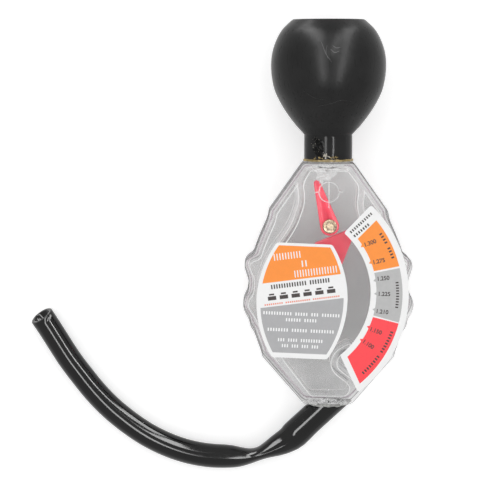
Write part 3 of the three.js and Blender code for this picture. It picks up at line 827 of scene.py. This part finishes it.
def field_between(high, low, slope_high, slope_low):
    """A printed field between two straight lines and the label's sides"""
    ends = []
    low_line, high_line = (low, slope_low), (high, slope_high)
    for (height, slope), side in ((low_line, 1), (high_line, 1), (high_line, -1), (low_line, -1)):
        y = height
        for _ in range(8):
            y = height + slope * side * (side_at(y) - MAIN_FIELD.side)
        ends.append(y)
    outline = []
    for first, last, side in ((ends[0], ends[1], 1), (ends[2], ends[3], -1)):
        for i in range(17):
            y = first + (last - first) * i / 16
            outline.append((side * (side_at(y) - MAIN_FIELD.side), y))
    return outline


def bar_slots(words):
    """Where the bars of all words stand in a row of slots that has one left empty between words"""
    slot = 0
    for word in words:
        yield from range(slot, slot + word)
        slot += word + 1


def bar_row(x, y, width, height, words, fill, turn):
    """A row of plain bars, in groups, in place of printed words"""
    pitch = width / (sum(words) + len(words) - 2 + fill)
    turned = Matrix.Rotation(radians(turn), 2)
    outlines = []
    for slot in bar_slots(words):
        at = turned @ Vector((pitch * (slot + fill / 2) - width / 2, 0))
        outlines.append(box_outline(x + at.x, y + at.y, pitch * fill, height, turn))
    return outlines


def bar_arc(radius, first, last, words):
    """The same along an arc of the scale, from one angle to another"""
    pitch = (last - first) / (sum(words) + len(words) - 1)
    outlines = []
    for slot in bar_slots(words):
        turn = first + pitch * (slot + 0.5)
        width = radians(abs(pitch)) * radius * ARC_BAR.fill
        outlines.append(box_outline(*heading(turn) * radius, ARC_BAR.height, width, turn))
    return outlines


ARC_BAR = Sizes(height=1.35, fill=0.5)
# Rows of bars of the main label: the row's middle x and y, width and height, the bars of each word,
# their share of the room, and 1 where the row slopes with the fields
white_rows = [
    (-7.8, 20.6, 12.2, 3.1, (10,), 0.36, 1), (0.2, 17.4, 2.3, 2.9, (2,), 0.36, 1),
    (5.6, 13.9, 19.5, 3.2, (16,), 0.36, 1), (0, -6.1, 35, 1.5, (11, 5, 3, 7), 0.5, 0),
    (0, -8.9, 14, 1.5, (6, 5), 0.5, 0), (0, -13.7, 30.4, 1.5, (8, 6, 9), 0.5, 0),
    (0, -18.3, 20.5, 1.5, (3, 4, 9), 0.5, 0), (0, -21, 16.7, 1.5, (3, 3, 3, 3), 0.5, 0),
]
dark_rows = [
    (-1.2, 8.05, 26.9, 2, (14, 8), 0.52, 1), (-0.3, 2.95, 31.2, 1.8, (6,), 0.7, 1),
    (-0.6, 4.65, 29.7, 0.75, (6,), 0.42, 1),
]
thin_rows = [(0, 0.25, 34.6, 0.7, (9, 12, 13), 0.6, 1)]


def make_main_label():
    half = MAIN.half_height
    heights = [half * (i / 14 - 1) for i in range(29)]
    right = [(side_at(y), y, MAIN.round if abs(y) == half else 0, 1) for y in heights]
    outline = rounded(right + mirrored(right), most_share=0.8)
    prints("main_label_film", [outline], WHITE_FILM, MAIN_MATRIX, FILM_LOW, FILM_TOP, "main_label")
    slope = MAIN_FIELD.slope
    orange = field_between(MAIN_FIELD.top, MAIN_FIELD.orange_low, 0, slope)
    grey = field_between(MAIN_FIELD.grey_high, MAIN_FIELD.bottom, slope, 0)
    prints("main_label_orange", [orange], ORANGE_INK, MAIN_MATRIX)
    prints("main_label_grey", [grey], GREY_INK, MAIN_MATRIX)
    turn = degrees(atan(slope))
    for name, rows, material, levels in (
        ("main_label_white_bars", white_rows, WHITE_INK, (PRINT_TOP, INK_TOP)),
        ("main_label_dark_bars", dark_rows, DARK_INK, (FILM_TOP, PRINT_TOP)),
        ("main_label_thin_bars", thin_rows, RUST_INK, (FILM_TOP, PRINT_TOP)),
    ):
        bars = [bar for *row, sloping in rows for bar in bar_row(*row, turn * sloping)]
        prints(name, bars, material, MAIN_MATRIX, *levels)


# Bands of the scale: name, ink, then angles at the inner and the outer edge, low and high
scale_bands = [
    ("orange", ORANGE_INK, 16.0, 40.7, 14.9, 41.8),
    ("grey", PALE_GREY_INK, -14.7, 14.8, -15.0, 13.9),
    ("red", RED_INK, -48.9, -15.9, -53.2, -15.5),
]
# Bars along the scale: radius, first and last angle, bars of each word; then the two rows at its top
scale_arcs = [(48.9, 35.5, 19.5, (4, 4)), (48.2, 7.2, -7.9, (10,)), (48.9, -20.3, -49, (8, 8))]
heading_rows = [(31.2, 32.9, 13, 1.25, (11,), 0.52, 42.6), (31.4, 29.5, 8.7, 1.25, (7,), 0.52, 40)]
# Numbers of the scale: text, angle of its pointer, angle of its middle, turn of the text
scale_numbers = [
    ("1.300", 35.0, 33.7, 20), ("1.275", 22.3, 21.1, 12), ("1.250", 9.6, 10.0, 6),
    ("1.225", 0.4, 0.1, -1), ("1.210", -10.6, -11.2, -6), ("1.150", -23.4, -24.0, -20),
    ("1.100", -33.7, -33.7, -34),
]
NUMBER = Sizes(inside=3.5, size=2.65, bolder=0.06, pointer=1.1, pointer_half=0.75)


def on_circle(circle, angle, past=0.0):
    """The point of a circle of the scale that is seen from the float's pivot at an angle"""
    way, middle = heading(angle), Vector(circle[:2])
    along = way.dot(middle)
    return way * (along + sqrt(circle[2] ** 2 - middle.length_squared + along**2) + past)


def arc_points(circle, low, high, steps=28):
    return [on_circle(circle, low + (high - low) * k / steps) for k in range(steps + 1)]


def make_scale_label():
    slant = SCALE_SLANT
    outer = arc_points(SCALE_OUTER, SCALE.low - slant.outer_low, SCALE.high + slant.outer_high, 60)
    inner = arc_points(SCALE_INNER, SCALE.high + slant.inner_high, SCALE.low - slant.inner_low, 60)
    corners = []
    for side in (outer, inner):
        corners += [(p.x, p.y, SCALE.round if k in (0, 60) else 0, 1) for k, p in enumerate(side)]
    outline = rounded(corners, most_share=0.8)
    prints("scale_label_film", [outline], WHITE_FILM, SCALE_MATRIX, FILM_LOW, FILM_TOP, "scale_label")
    for name, band_ink, low_in, high_in, low_out, high_out in scale_bands:
        outlines = [arc_points(FIELD_OUTER, low_out, high_out) + arc_points(FIELD_INNER, high_in, low_in)]
        for _, pointer, _, _ in scale_numbers:
            if low_in < pointer < high_in:
                base = on_circle(FIELD_INNER, pointer, 0.02)
                side = Vector((-base.y, base.x)).normalized() * NUMBER.pointer_half
                outlines.append([base - side, base + side, on_circle(FIELD_INNER, pointer, -NUMBER.pointer)])
        prints("scale_label_" + name, outlines, band_ink, SCALE_MATRIX)
    bars = [bar for row in scale_arcs for bar in bar_arc(*row)]
    prints("scale_label_bars", bars, DARK_INK, SCALE_MATRIX, PRINT_TOP, INK_TOP)
    heading = [bar for row in heading_rows for bar in bar_row(*row)]
    prints("scale_label_heading", heading, DARK_INK, SCALE_MATRIX)
    bm = bmesh.new()
    for text, _, angle, turn in scale_numbers:
        curve = bpy.data.curves.new("number", "FONT")
        curve.body, curve.size, curve.extrude = text, NUMBER.size, LABEL.ink / 2
        curve.align_x, curve.align_y = "CENTER", "CENTER"
        curve.offset = NUMBER.bolder
        letters = bpy.data.objects.new("number", curve)
        mesh = bpy.data.meshes.new_from_object(letters)
        at = on_circle(FIELD_INNER, angle, NUMBER.inside)
        mesh.transform(turned_at(*at, PRINT_TOP + LABEL.ink / 2, turn))
        bm.from_mesh(mesh)
        bpy.data.objects.remove(letters)
        bpy.data.curves.remove(curve)
        bpy.data.meshes.remove(mesh)
    bmesh.ops.remove_doubles(bm, verts=bm.verts, dist=0.0005)
    body_piece("scale_numbers", bm, [DARK_INK], "label_film", matrix=SCALE_MATRIX)


make_main_label()
make_scale_label()


# The bulb, hollow, with a thin lip round its dished end
bulb_side_shares = [
    (0.556, 0.239), (0.715, 0.325), (0.843, 0.411), (0.938, 0.497), (0.985, 0.585), (1, 0.668),
    (0.983, 0.754), (0.922, 0.84), (0.809, 0.926), (0.628, 1),
]


def make_bulb():
    outer = [Vector((r * BULB.radius, y * BULB.length)) for r, y in bulb_side_shares]
    inner = [Vector((p.x - BULB.wall, p.y)) for p in outer[:-1]]
    bore, neck, edge = SPIGOT.radius + CLEARANCE, BULB_NECK.radius, BULB_NECK.edge
    end, top = outer[-1].x, BULB.length
    dish, ceiling = top - BULB.dish, top - BULB.end_wall
    profile = [(AXIS, ceiling), (inner[-1].x * 0.75, ceiling)]
    profile += [tuple(p) for p in reversed(spline(inner, 2.0))]
    profile += [(bore, BULB_NECK.length), (bore, 0)]
    profile += [(neck - edge * (1 - s), edge * (1 - c)) for s, c in quarter()]
    profile += [(neck, share * BULB_NECK.length) for share in (0.3, 0.6, 0.9, 1)]
    profile += [tuple(p) for p in spline(outer, 1.2)][:-1]
    profile += [(end, top - 0.15), (end - 0.2, top), (end - BULB.lip, top), (end - BULB.lip - 0.25, dish)]
    profile += [(end * share, dish - BULB.dish_rise * (1 - share)) for share in (0.6, 0.3)]
    profile += [(AXIS, dish - BULB.dish_rise)]
    rings = lathe_rings(profile, 96)
    rings = [[(x, y + BULB_NECK.gap, z) for x, y, z in ring] for ring in rings]
    piece = lofted("rubber_bulb", rings, [BULB_RUBBER, NECK_RUBBER], smooth_angle=50)
    back = TESTER.inverted()
    neck_top = BULB_NECK.gap + BULB_NECK.length - 0.1
    for face in piece.data.polygons:
        face.material_index = int((back @ face.center).y < neck_top)
    settle(piece, "root", "bulb_rubber", "suction_bulb")


make_bulb()


# Glue: an uneven amber ring under the bulb's neck, and a clear blob where the hose meets the body
NECK_GLUE = Sizes(low=0.15, gap=0.1, past=0.35)
HOSE_GLUE = Sizes(half_width=11.6, half_depth=7.8, drop=2.8, lap=0.05, hole=0.1)


def shaken(bm, amount, scale, seed):
    """Moves each vertex along its normal by smooth noise"""
    bm.normal_update()
    moves = []
    for vertex in bm.verts:
        value = noise.noise(vertex.co * scale + Vector((seed, 0, 0)))
        moves.append((vertex, vertex.normal * value * amount))
    for vertex, move in moves:
        vertex.co += move


def make_neck_glue():
    inner, neck = SPIGOT.radius + CLEARANCE, BULB_NECK.radius
    low, high, out = NECK_GLUE.low, BULB_NECK.gap - NECK_GLUE.gap, neck + NECK_GLUE.past
    profile = [(inner, low), (out - 0.5, low), (out - 0.1, low + 0.25), (out, (low + high) / 2)]
    profile += [(out, high), (out - 0.1, high + 0.2), (neck + 0.06, high + 0.35), (neck + 0.04, high)]
    profile += [(inner, high)]
    bm = bmesh.new()
    add_loft(bm, lathe_rings(profile, 160), closed=True, materials=[1] * 3 + [0] * 6)
    bmesh.ops.recalc_face_normals(bm, faces=bm.faces)
    shaken(bm, amount=0.35, scale=0.7, seed=3)
    body_piece("amber_glue_ring", bm, [AMBER_GLUE, CLEAR_GLUE], "amber_glue", "neck_glue_bead")


def put_in_order(bm):
    """A fixed order for vertices and faces, since dissolving leaves them in a new one at each run"""
    for elements, place in ((bm.verts, lambda v: v.co), (bm.faces, lambda f: f.calc_center_median())):
        for index, element in enumerate(sorted(elements, key=lambda e: tuple(place(e)))):
            element.index = index
        elements.sort()


def make_hose_glue():
    way = nozzle_way()
    middle = NOZZLE.root_x + way.x / -way.y * (HOSE_GLUE.drop / 2)
    edge = -BODY.length - HOSE_GLUE.lap
    halves = (HOSE_GLUE.half_width, HOSE_GLUE.drop, HOSE_GLUE.half_depth, 1)
    bm = bmesh.new()
    bmesh.ops.create_uvsphere(bm, u_segments=48, v_segments=32, radius=1)
    bm.transform(Matrix.Translation((middle, edge, 0)) @ Matrix.Diagonal(halves))
    shaken(bm, amount=0.7, scale=0.35, seed=11)
    blob = mesh_object("clear_glue_at_hose", bm, [CLEAR_GLUE])
    combine(blob, big_cube((0, edge - BODY.length / 2, 0), BODY.length), "INTERSECT")
    root = Vector((NOZZLE.root_x, -BODY.length, 0))
    reach, hole = way * NOZZLE.length, HOSE.sleeve + HOSE_GLUE.hole
    combine(blob, rod_between(root - reach, root + reach, hole, 48, []), "DIFFERENCE")
    bm = bmesh.new()
    bm.from_mesh(blob.data)
    bmesh.ops.dissolve_degenerate(bm, dist=0.001, edges=bm.edges)
    put_in_order(bm)
    bm.to_mesh(blob.data)
    bm.free()
    blob.data.transform(TESTER)
    smooth_up_to(blob, 45)
    settle(blob, "root", "clear_glue", "hose_glue_bead")


def add_lump(bm, middle, halves, turn, amount, scale, seed, detail=4):
    """An uneven lump, as an ellipsoid moved by noise"""
    lump = bmesh.new()
    bmesh.ops.create_icosphere(lump, subdivisions=detail, radius=1)
    for vertex in lump.verts:
        value = noise.noise(vertex.co * scale + Vector((seed, seed * 0.7, 0)))
        vertex.co *= 1 + amount * value
    lump.transform(Matrix.Translation(middle) @ turn @ Matrix.Diagonal((*halves, 1)))
    mesh = bpy.data.meshes.new("lump")
    lump.to_mesh(mesh)
    lump.free()
    bm.from_mesh(mesh)
    bpy.data.meshes.remove(mesh)


# Dried glue on the face: middle x and y, half length, half width, turn, unevenness, seed
face_smears = [
    (-3.5, -2.0, 5.5, 1.3, 4, 0.9, 1), (4.5, -2.2, 5.0, 1.2, -5, 0.9, 2),
    (-2.6, -5.2, 3.6, 1.7, -35, 0.8, 3), (1.4, -4.6, 3.2, 1.6, 40, 0.8, 4),
    (-4.2, -7.4, 1.8, 1.1, -50, 0.8, 5), (-6.5, -109.9, 5.0, 1.3, 5, 0.9, 6),
    (2.5, -110.1, 6.0, 1.2, -3, 0.9, 7),
]
# The dark broken line under the amber ring and a few dark specks by the hose, written the same way
dark_line = [
    (-3.9, -1.75, 1.2, 0.17, -10, 0.8, 8), (-1.2, -2.05, 1.5, 0.13, -3, 0.8, 9),
    (1.5, -2.05, 1.6, 0.18, 4, 0.8, 10), (3.3, -1.7, 0.5, 0.12, 25, 0.8, 11),
    (0.2, -110.3, 0.3, 0.22, 30, 0.8, 12), (-4.6, -111.2, 0.28, 0.2, 0, 0.8, 13),
    (-9.2, -111.2, 0.25, 0.2, 0, 0.8, 14),
]
SMEAR = Sizes(above=0.05, half_depth=0.16, lump_scale=2.2)


def make_smears(name, smears, material, slot):
    bm = bmesh.new()
    for x, y, long, wide, turn, amount, seed in smears:
        turned = Matrix.Rotation(radians(turn), 4, "Z")
        middle = (x, y, BODY.half_depth + SMEAR.above)
        add_lump(bm, middle, (long, wide, SMEAR.half_depth), turned, amount, SMEAR.lump_scale, seed)
    body_piece(name, bm, [material], slot, smooth_angle=80)


# Glue on the bulb's neck, as groups: angle round the neck and height of the middle, how far the
# group spreads round and along, number and size of the lumps, seed
dark_smears = [
    (-26, 6.4, 9, 2.6, 16, 1.5, 21), (-20, 4.0, 6, 1.1, 10, 1.2, 22),
    (-30, 10.5, 7, 1.4, 6, 1.0, 23),
]
pale_flecks = [
    (-8, 3.3, 6, 1.0, 34, 0.3, 31), (-34, 9.0, 9, 3.6, 30, 0.09, 33),
    (-19, 6.5, 8, 3, 16, 0.1, 34),
]
amber_flecks = [(9, 2.7, 9, 0.7, 22, 0.26, 32), (-24, 2.4, 12, 0.4, 12, 0.3, 35)]


def make_neck_specks(name, groups, material, height, slot):
    bm = bmesh.new()
    for angle, level, round_spread, along_spread, count, size, seed in groups:
        chance = random.Random(seed)
        for index in range(count):
            turn = radians(angle + chance.gauss(0, 0.5) * round_spread)
            y = max(BULB_NECK.gap + 0.5, level + chance.gauss(0, 0.5) * along_spread)
            y = min(y, BULB_NECK.gap + BULB_NECK.length - 1)
            grown = size * chance.uniform(0.5, 1.3)
            place = Vector((sin(turn), 0, cos(turn))) * BULB_NECK.radius + Vector((0, y, 0))
            turned = Matrix.Rotation(turn, 4, "Y") @ Matrix.Rotation(chance.uniform(0, 3), 4, "Z")
            halves = (grown, grown * chance.uniform(0.4, 0.9), height)
            add_lump(bm, place, halves, turned, 0.7, 1.4, seed + index, 3)
    body_piece(name, bm, [material], slot, smooth_angle=80)


# Scratches on the bulb: points across and along it, with the width of the mark
bulb_scratches = [
    (0.14, [(-4.5, 55.5), (-3.6, 53.2), (-2.2, 49.6), (0.3, 46.1)]),
    (0.16, [(0.8, 53.4), (2.4, 52.3), (4.3, 52.6)]),
    (0.2, [(-0.2, 51.8), (1.6, 50.3), (3.6, 50.9)]),
    (0.1, [(-1.7, 53.5), (-2.2, 50.5), (-1.4, 47.6)]),
    (0.05, [(-5.9, 26.1), (1.1, 27.7), (5, 29), (10, 28.2)]),
    (0.04, [(-12, 33), (-7, 30), (-2, 29)]),
]


def bulb_radius(y):
    side = spline([Vector((r * BULB.radius, h * BULB.length)) for r, h in bulb_side_shares], 0.5)
    for one, two in zip(side, side[1:]):
        if one.y <= y - BULB_NECK.gap <= two.y:
            return one.lerp(two, (y - BULB_NECK.gap - one.y) / (two.y - one.y)).x
    return BULB_NECK.radius


def make_scratches():
    bm = bmesh.new()
    for width, places in bulb_scratches:
        line = spline([Vector(p) for p in places], 0.8)
        rings = []
        for index, at in enumerate(line):
            way = line[min(index + 1, len(line) - 1)] - line[max(index - 1, 0)]
            side = Vector((-way.y, way.x)).normalized()
            fade = width * (0.25 + 0.75 * sin(pi * (index + 0.5) / len(line)))
            ring = []
            for k in range(6):
                turn = 2 * pi * k / 6
                flat = at + side * fade * cos(turn)
                radius = bulb_radius(flat.y) + 0.05 * sin(turn)
                ring.append((flat.x, flat.y, sqrt(radius**2 - flat.x**2)))
            rings.append(ring)
        add_loft(bm, rings)
    body_piece("bulb_scratches", bm, [SCRATCH], "bulb_rubber", smooth_angle=80)


make_neck_glue()
make_hose_glue()
make_smears("clear_glue_smears", face_smears, GLUE_SMEAR, "clear_glue")
make_neck_specks("dark_glue_smears", dark_smears, DARK_GLUE, 0.14, "bulb_rubber")
make_neck_specks("pale_glue_flecks", pale_flecks, PALE_GLUE, 0.2, "clear_glue")
make_neck_specks("amber_glue_flecks", amber_flecks, AMBER_GLUE, 0.18, "amber_glue")
# Dark lumps along a broken line under the amber ring, and dark specks by the hose, in the dark glue's material
make_smears("dark_line_lumps", dark_line, DARK_GLUE, "bulb_rubber")
make_scratches()


# The moving pieces
def plate_rings(outline_at, half, edge):
    """Rings of a plate with rounded edges, from its lower face to its upper one"""
    rows = [(edge * (1 - s), -half + edge * (1 - c)) for s, c in quarter(3)]
    rows += [(d, -z) for d, z in reversed(rows)]
    return [raised(outline_at(d), z) for d, z in rows]


def upright_rod(x, half, radius, steps):
    return rod_between((x, 0, -half), (x, 0, half), radius, steps, [RED])


def make_needle():
    turn = degrees(acos((NEEDLE.radius - NEEDLE.tip) / NEEDLE.reach))
    half, hole = NEEDLE.half, NEEDLE_PIN.radius + CLEARANCE

    def outline(d):
        tip = arc((NEEDLE.reach, 0), NEEDLE.tip - d, -turn, turn, 16)
        return tip + arc((0, 0), NEEDLE.radius - d, turn, 360 - turn, 48)

    rings = plate_rings(outline, half, NEEDLE.edge)
    piece = lofted("red_level_needle", rings, [RED], matrix=Matrix.Identity(4))
    combine(piece, upright_rod(0, half + OVERRUN, hole, 24), "DIFFERENCE")
    piece.data.transform(TESTER @ turned_at(*NEEDLE_PIVOT, NEEDLE_Z, NEEDLE.rest_angle))
    settle(piece, "needle", "red_plastic", "level_needle")


def make_float():
    base = FLOAT.reach - FLOAT.head
    half_head = FLOAT.head * tan(radians(FLOAT.tip_angle / 2))
    upper = [(base, half_head, FLOAT.barb, 1), (base + FLOAT.barb, FLOAT.stem, FLOAT.barb, 1)]
    upper.append((-FLOAT_PLATE.tail_reach, FLOAT.stem, 0.01, 1))
    lower = [(x, -y, reach, share) for x, y, reach, share in reversed(upper)]
    corners = [(FLOAT.reach, 0, FLOAT.tip_round, 1), *upper, *lower]

    def outline(d):
        return rounded(inset(corners, d))

    half, tail = FLOAT_PLATE.half, -FLOAT_PLATE.tail_reach
    rings = plate_rings(outline, half, FLOAT_PLATE.edge)
    piece = lofted("red_float_arrow", rings, [RED], matrix=Matrix.Identity(4))
    for x, radius in ((0, FLOAT_PLATE.hub), (tail, FLOAT_PLATE.tail)):
        combine(piece, upright_rod(x, half, radius, 48), "UNION")
    for x, radius in ((0, FLOAT_PIN.radius), (tail, FLOAT_PLATE.weight)):
        combine(piece, upright_rod(x, half + OVERRUN, radius + CLEARANCE, 32), "DIFFERENCE")
    piece.data.transform(TESTER @ turned_at(*FLOAT_PIVOT, FLOAT_Z, FLOAT.rest_angle))
    smooth_up_to(piece, 35)
    settle(piece, "float", "red_plastic", "float_arrow")


def make_needle_pin():
    """A stepped pin with a rounded head whose middle is sunk a little"""
    under = NEEDLE_Z + NEEDLE.half + CLEARANCE
    end = NEEDLE_Z - NEEDLE.half - NEEDLE_PIN.seat
    shaft, head, top = NEEDLE_PIN.radius, NEEDLE_PIN.head, under + NEEDLE_PIN.head_thickness
    profile = [(AXIS, end), (shaft, end), (shaft, under), (head - 0.2, under), (head, under + 0.25)]
    profile += [(head - 0.22, top - 0.1), (head - 0.5, top), (head - 0.75, top - 0.12)]
    profile += [(head * 0.4, top - 0.1), (AXIS, top - 0.1)]
    x, y = NEEDLE_PIVOT
    rings = [[(px + x, pz + y, py) for px, py, pz in ring] for ring in lathe_rings(profile, 64)]
    settle(lofted("brass_needle_pin", rings, [BRASS]), "root", "brass", "needle_pivot_pin")


make_needle()
make_float()
make_needle_pin()
for node_name in ("float_pivot_pin", "float_weight"):
    node_materials = frame["nodes"][node_name].data.materials
    node_materials.clear()
    node_materials.append(BRASS)


# Floor, light and world
FLOOR_SIZE = 6.0
FLOOR_DEPTH = 0.0001
FLOOR_GLOW = 0.36
AMBIENT = 0.97
BULB_MIDDLE = (0, 0.08, 0.03)
# Bright strips: name, the two ends, width, radiance
strips = [
    ("left_strip", (-0.17, -0.35, 0.84), (-0.31, 0.79, 0.84), 0.14, 17.5),
    ("left_strip_low", (-0.31, 0.79, 0.84), (-0.56, 1.04, 0.04), 0.32, 18),
    ("right_strip", (0.25, -0.33, 0.84), (0.57, 0.57, 0.84), 0.08, 35),
    ("right_strip_bend", (0.57, 0.57, 0.84), (0.62, 0.88, 0.84), 0.1, 28),
    ("right_strip_low", (0.62, 0.88, 0.84), (0.545, 1.04, 0.12), 0.3, 16),
    ("far_strip", (0.08, 0.25, 0.84), (0.42, 1.2, 0.84), 0.14, 20),
    ("left_floor_strip", (-0.06, 0.2, 0.004), (-0.26, 0.64, 0.004), 0.11, 8.5),
    ("right_floor_strip", (0.1, 0.24, 0.004), (0.3, 0.68, 0.004), 0.1, 8.5),
]


def background_share(tree):
    """1 for camera, glossy and transmission rays, which see the background as white"""
    path = add(tree, "ShaderNodeLightPath")
    share = path.outputs["Is Camera Ray"]
    for kind in ("Is Glossy Ray", "Is Transmission Ray"):
        share = calculated("MAXIMUM", share, path.outputs[kind])
    return share


def make_floor():
    """A pale floor that keeps the shadow, and glows a little where it is seen"""
    material, tree, shader = new_material("floor")
    describe(shader, (0.93, 0.93, 0.93, 1), 0.9, 0)
    strength = spread(background_share(tree), 0, 1, 0, FLOOR_GLOW)
    glow = add(tree, "ShaderNodeEmission", (1, 1, 1, 1), strength)
    both = add(tree, "ShaderNodeAddShader", shader.outputs[0], glow.outputs[0])
    put(tree.nodes["Material Output"].inputs["Surface"], both.outputs[0])
    bm = bmesh.new()
    bmesh.ops.create_grid(bm, x_segments=1, y_segments=1, size=FLOOR_SIZE / 2)
    bm.transform(Matrix.Translation((0, 0, -FLOOR_DEPTH)))
    mesh_object("floor", bm, [material])


def make_world():
    world = bpy.data.worlds.new("world")
    world.use_nodes = True
    bpy.context.scene.world = world
    tree = world.node_tree
    background = tree.nodes["Background"]
    put(background.inputs["Color"], (1, 1, 1, 1))
    put(background.inputs["Strength"], spread(background_share(tree), 0, 1, AMBIENT, 1))


def reflected_strip(name, low, high, width, radiance):
    """A bright strip from one point to another that is turned to the bulb, and that only gloss shows"""
    low, high = Vector(low), Vector(high)
    along = (high - low).normalized()
    middle = (low + high) / 2
    back = middle - Vector(BULB_MIDDLE)
    back = (back - along * back.dot(along)).normalized()
    turn = Matrix((along.cross(back), along, back)).transposed().to_4x4()
    data = bpy.data.lights.new(name, "AREA")
    data.shape = "RECTANGLE"
    data.size, data.size_y = width, (high - low).length
    data.energy = pi * data.size * data.size_y * radiance
    lamp = bpy.data.objects.new(name, data)
    lamp.matrix_world = Matrix.Translation(middle) @ turn
    lamp.visible_camera = lamp.visible_diffuse = False
    shown(lamp)


make_floor()
make_world()
for strip in strips:
    reflected_strip(*strip)
bpy.context.scene.cycles.transparent_max_bounces = 32
bpy.context.scene.view_settings.view_transform = "Standard"
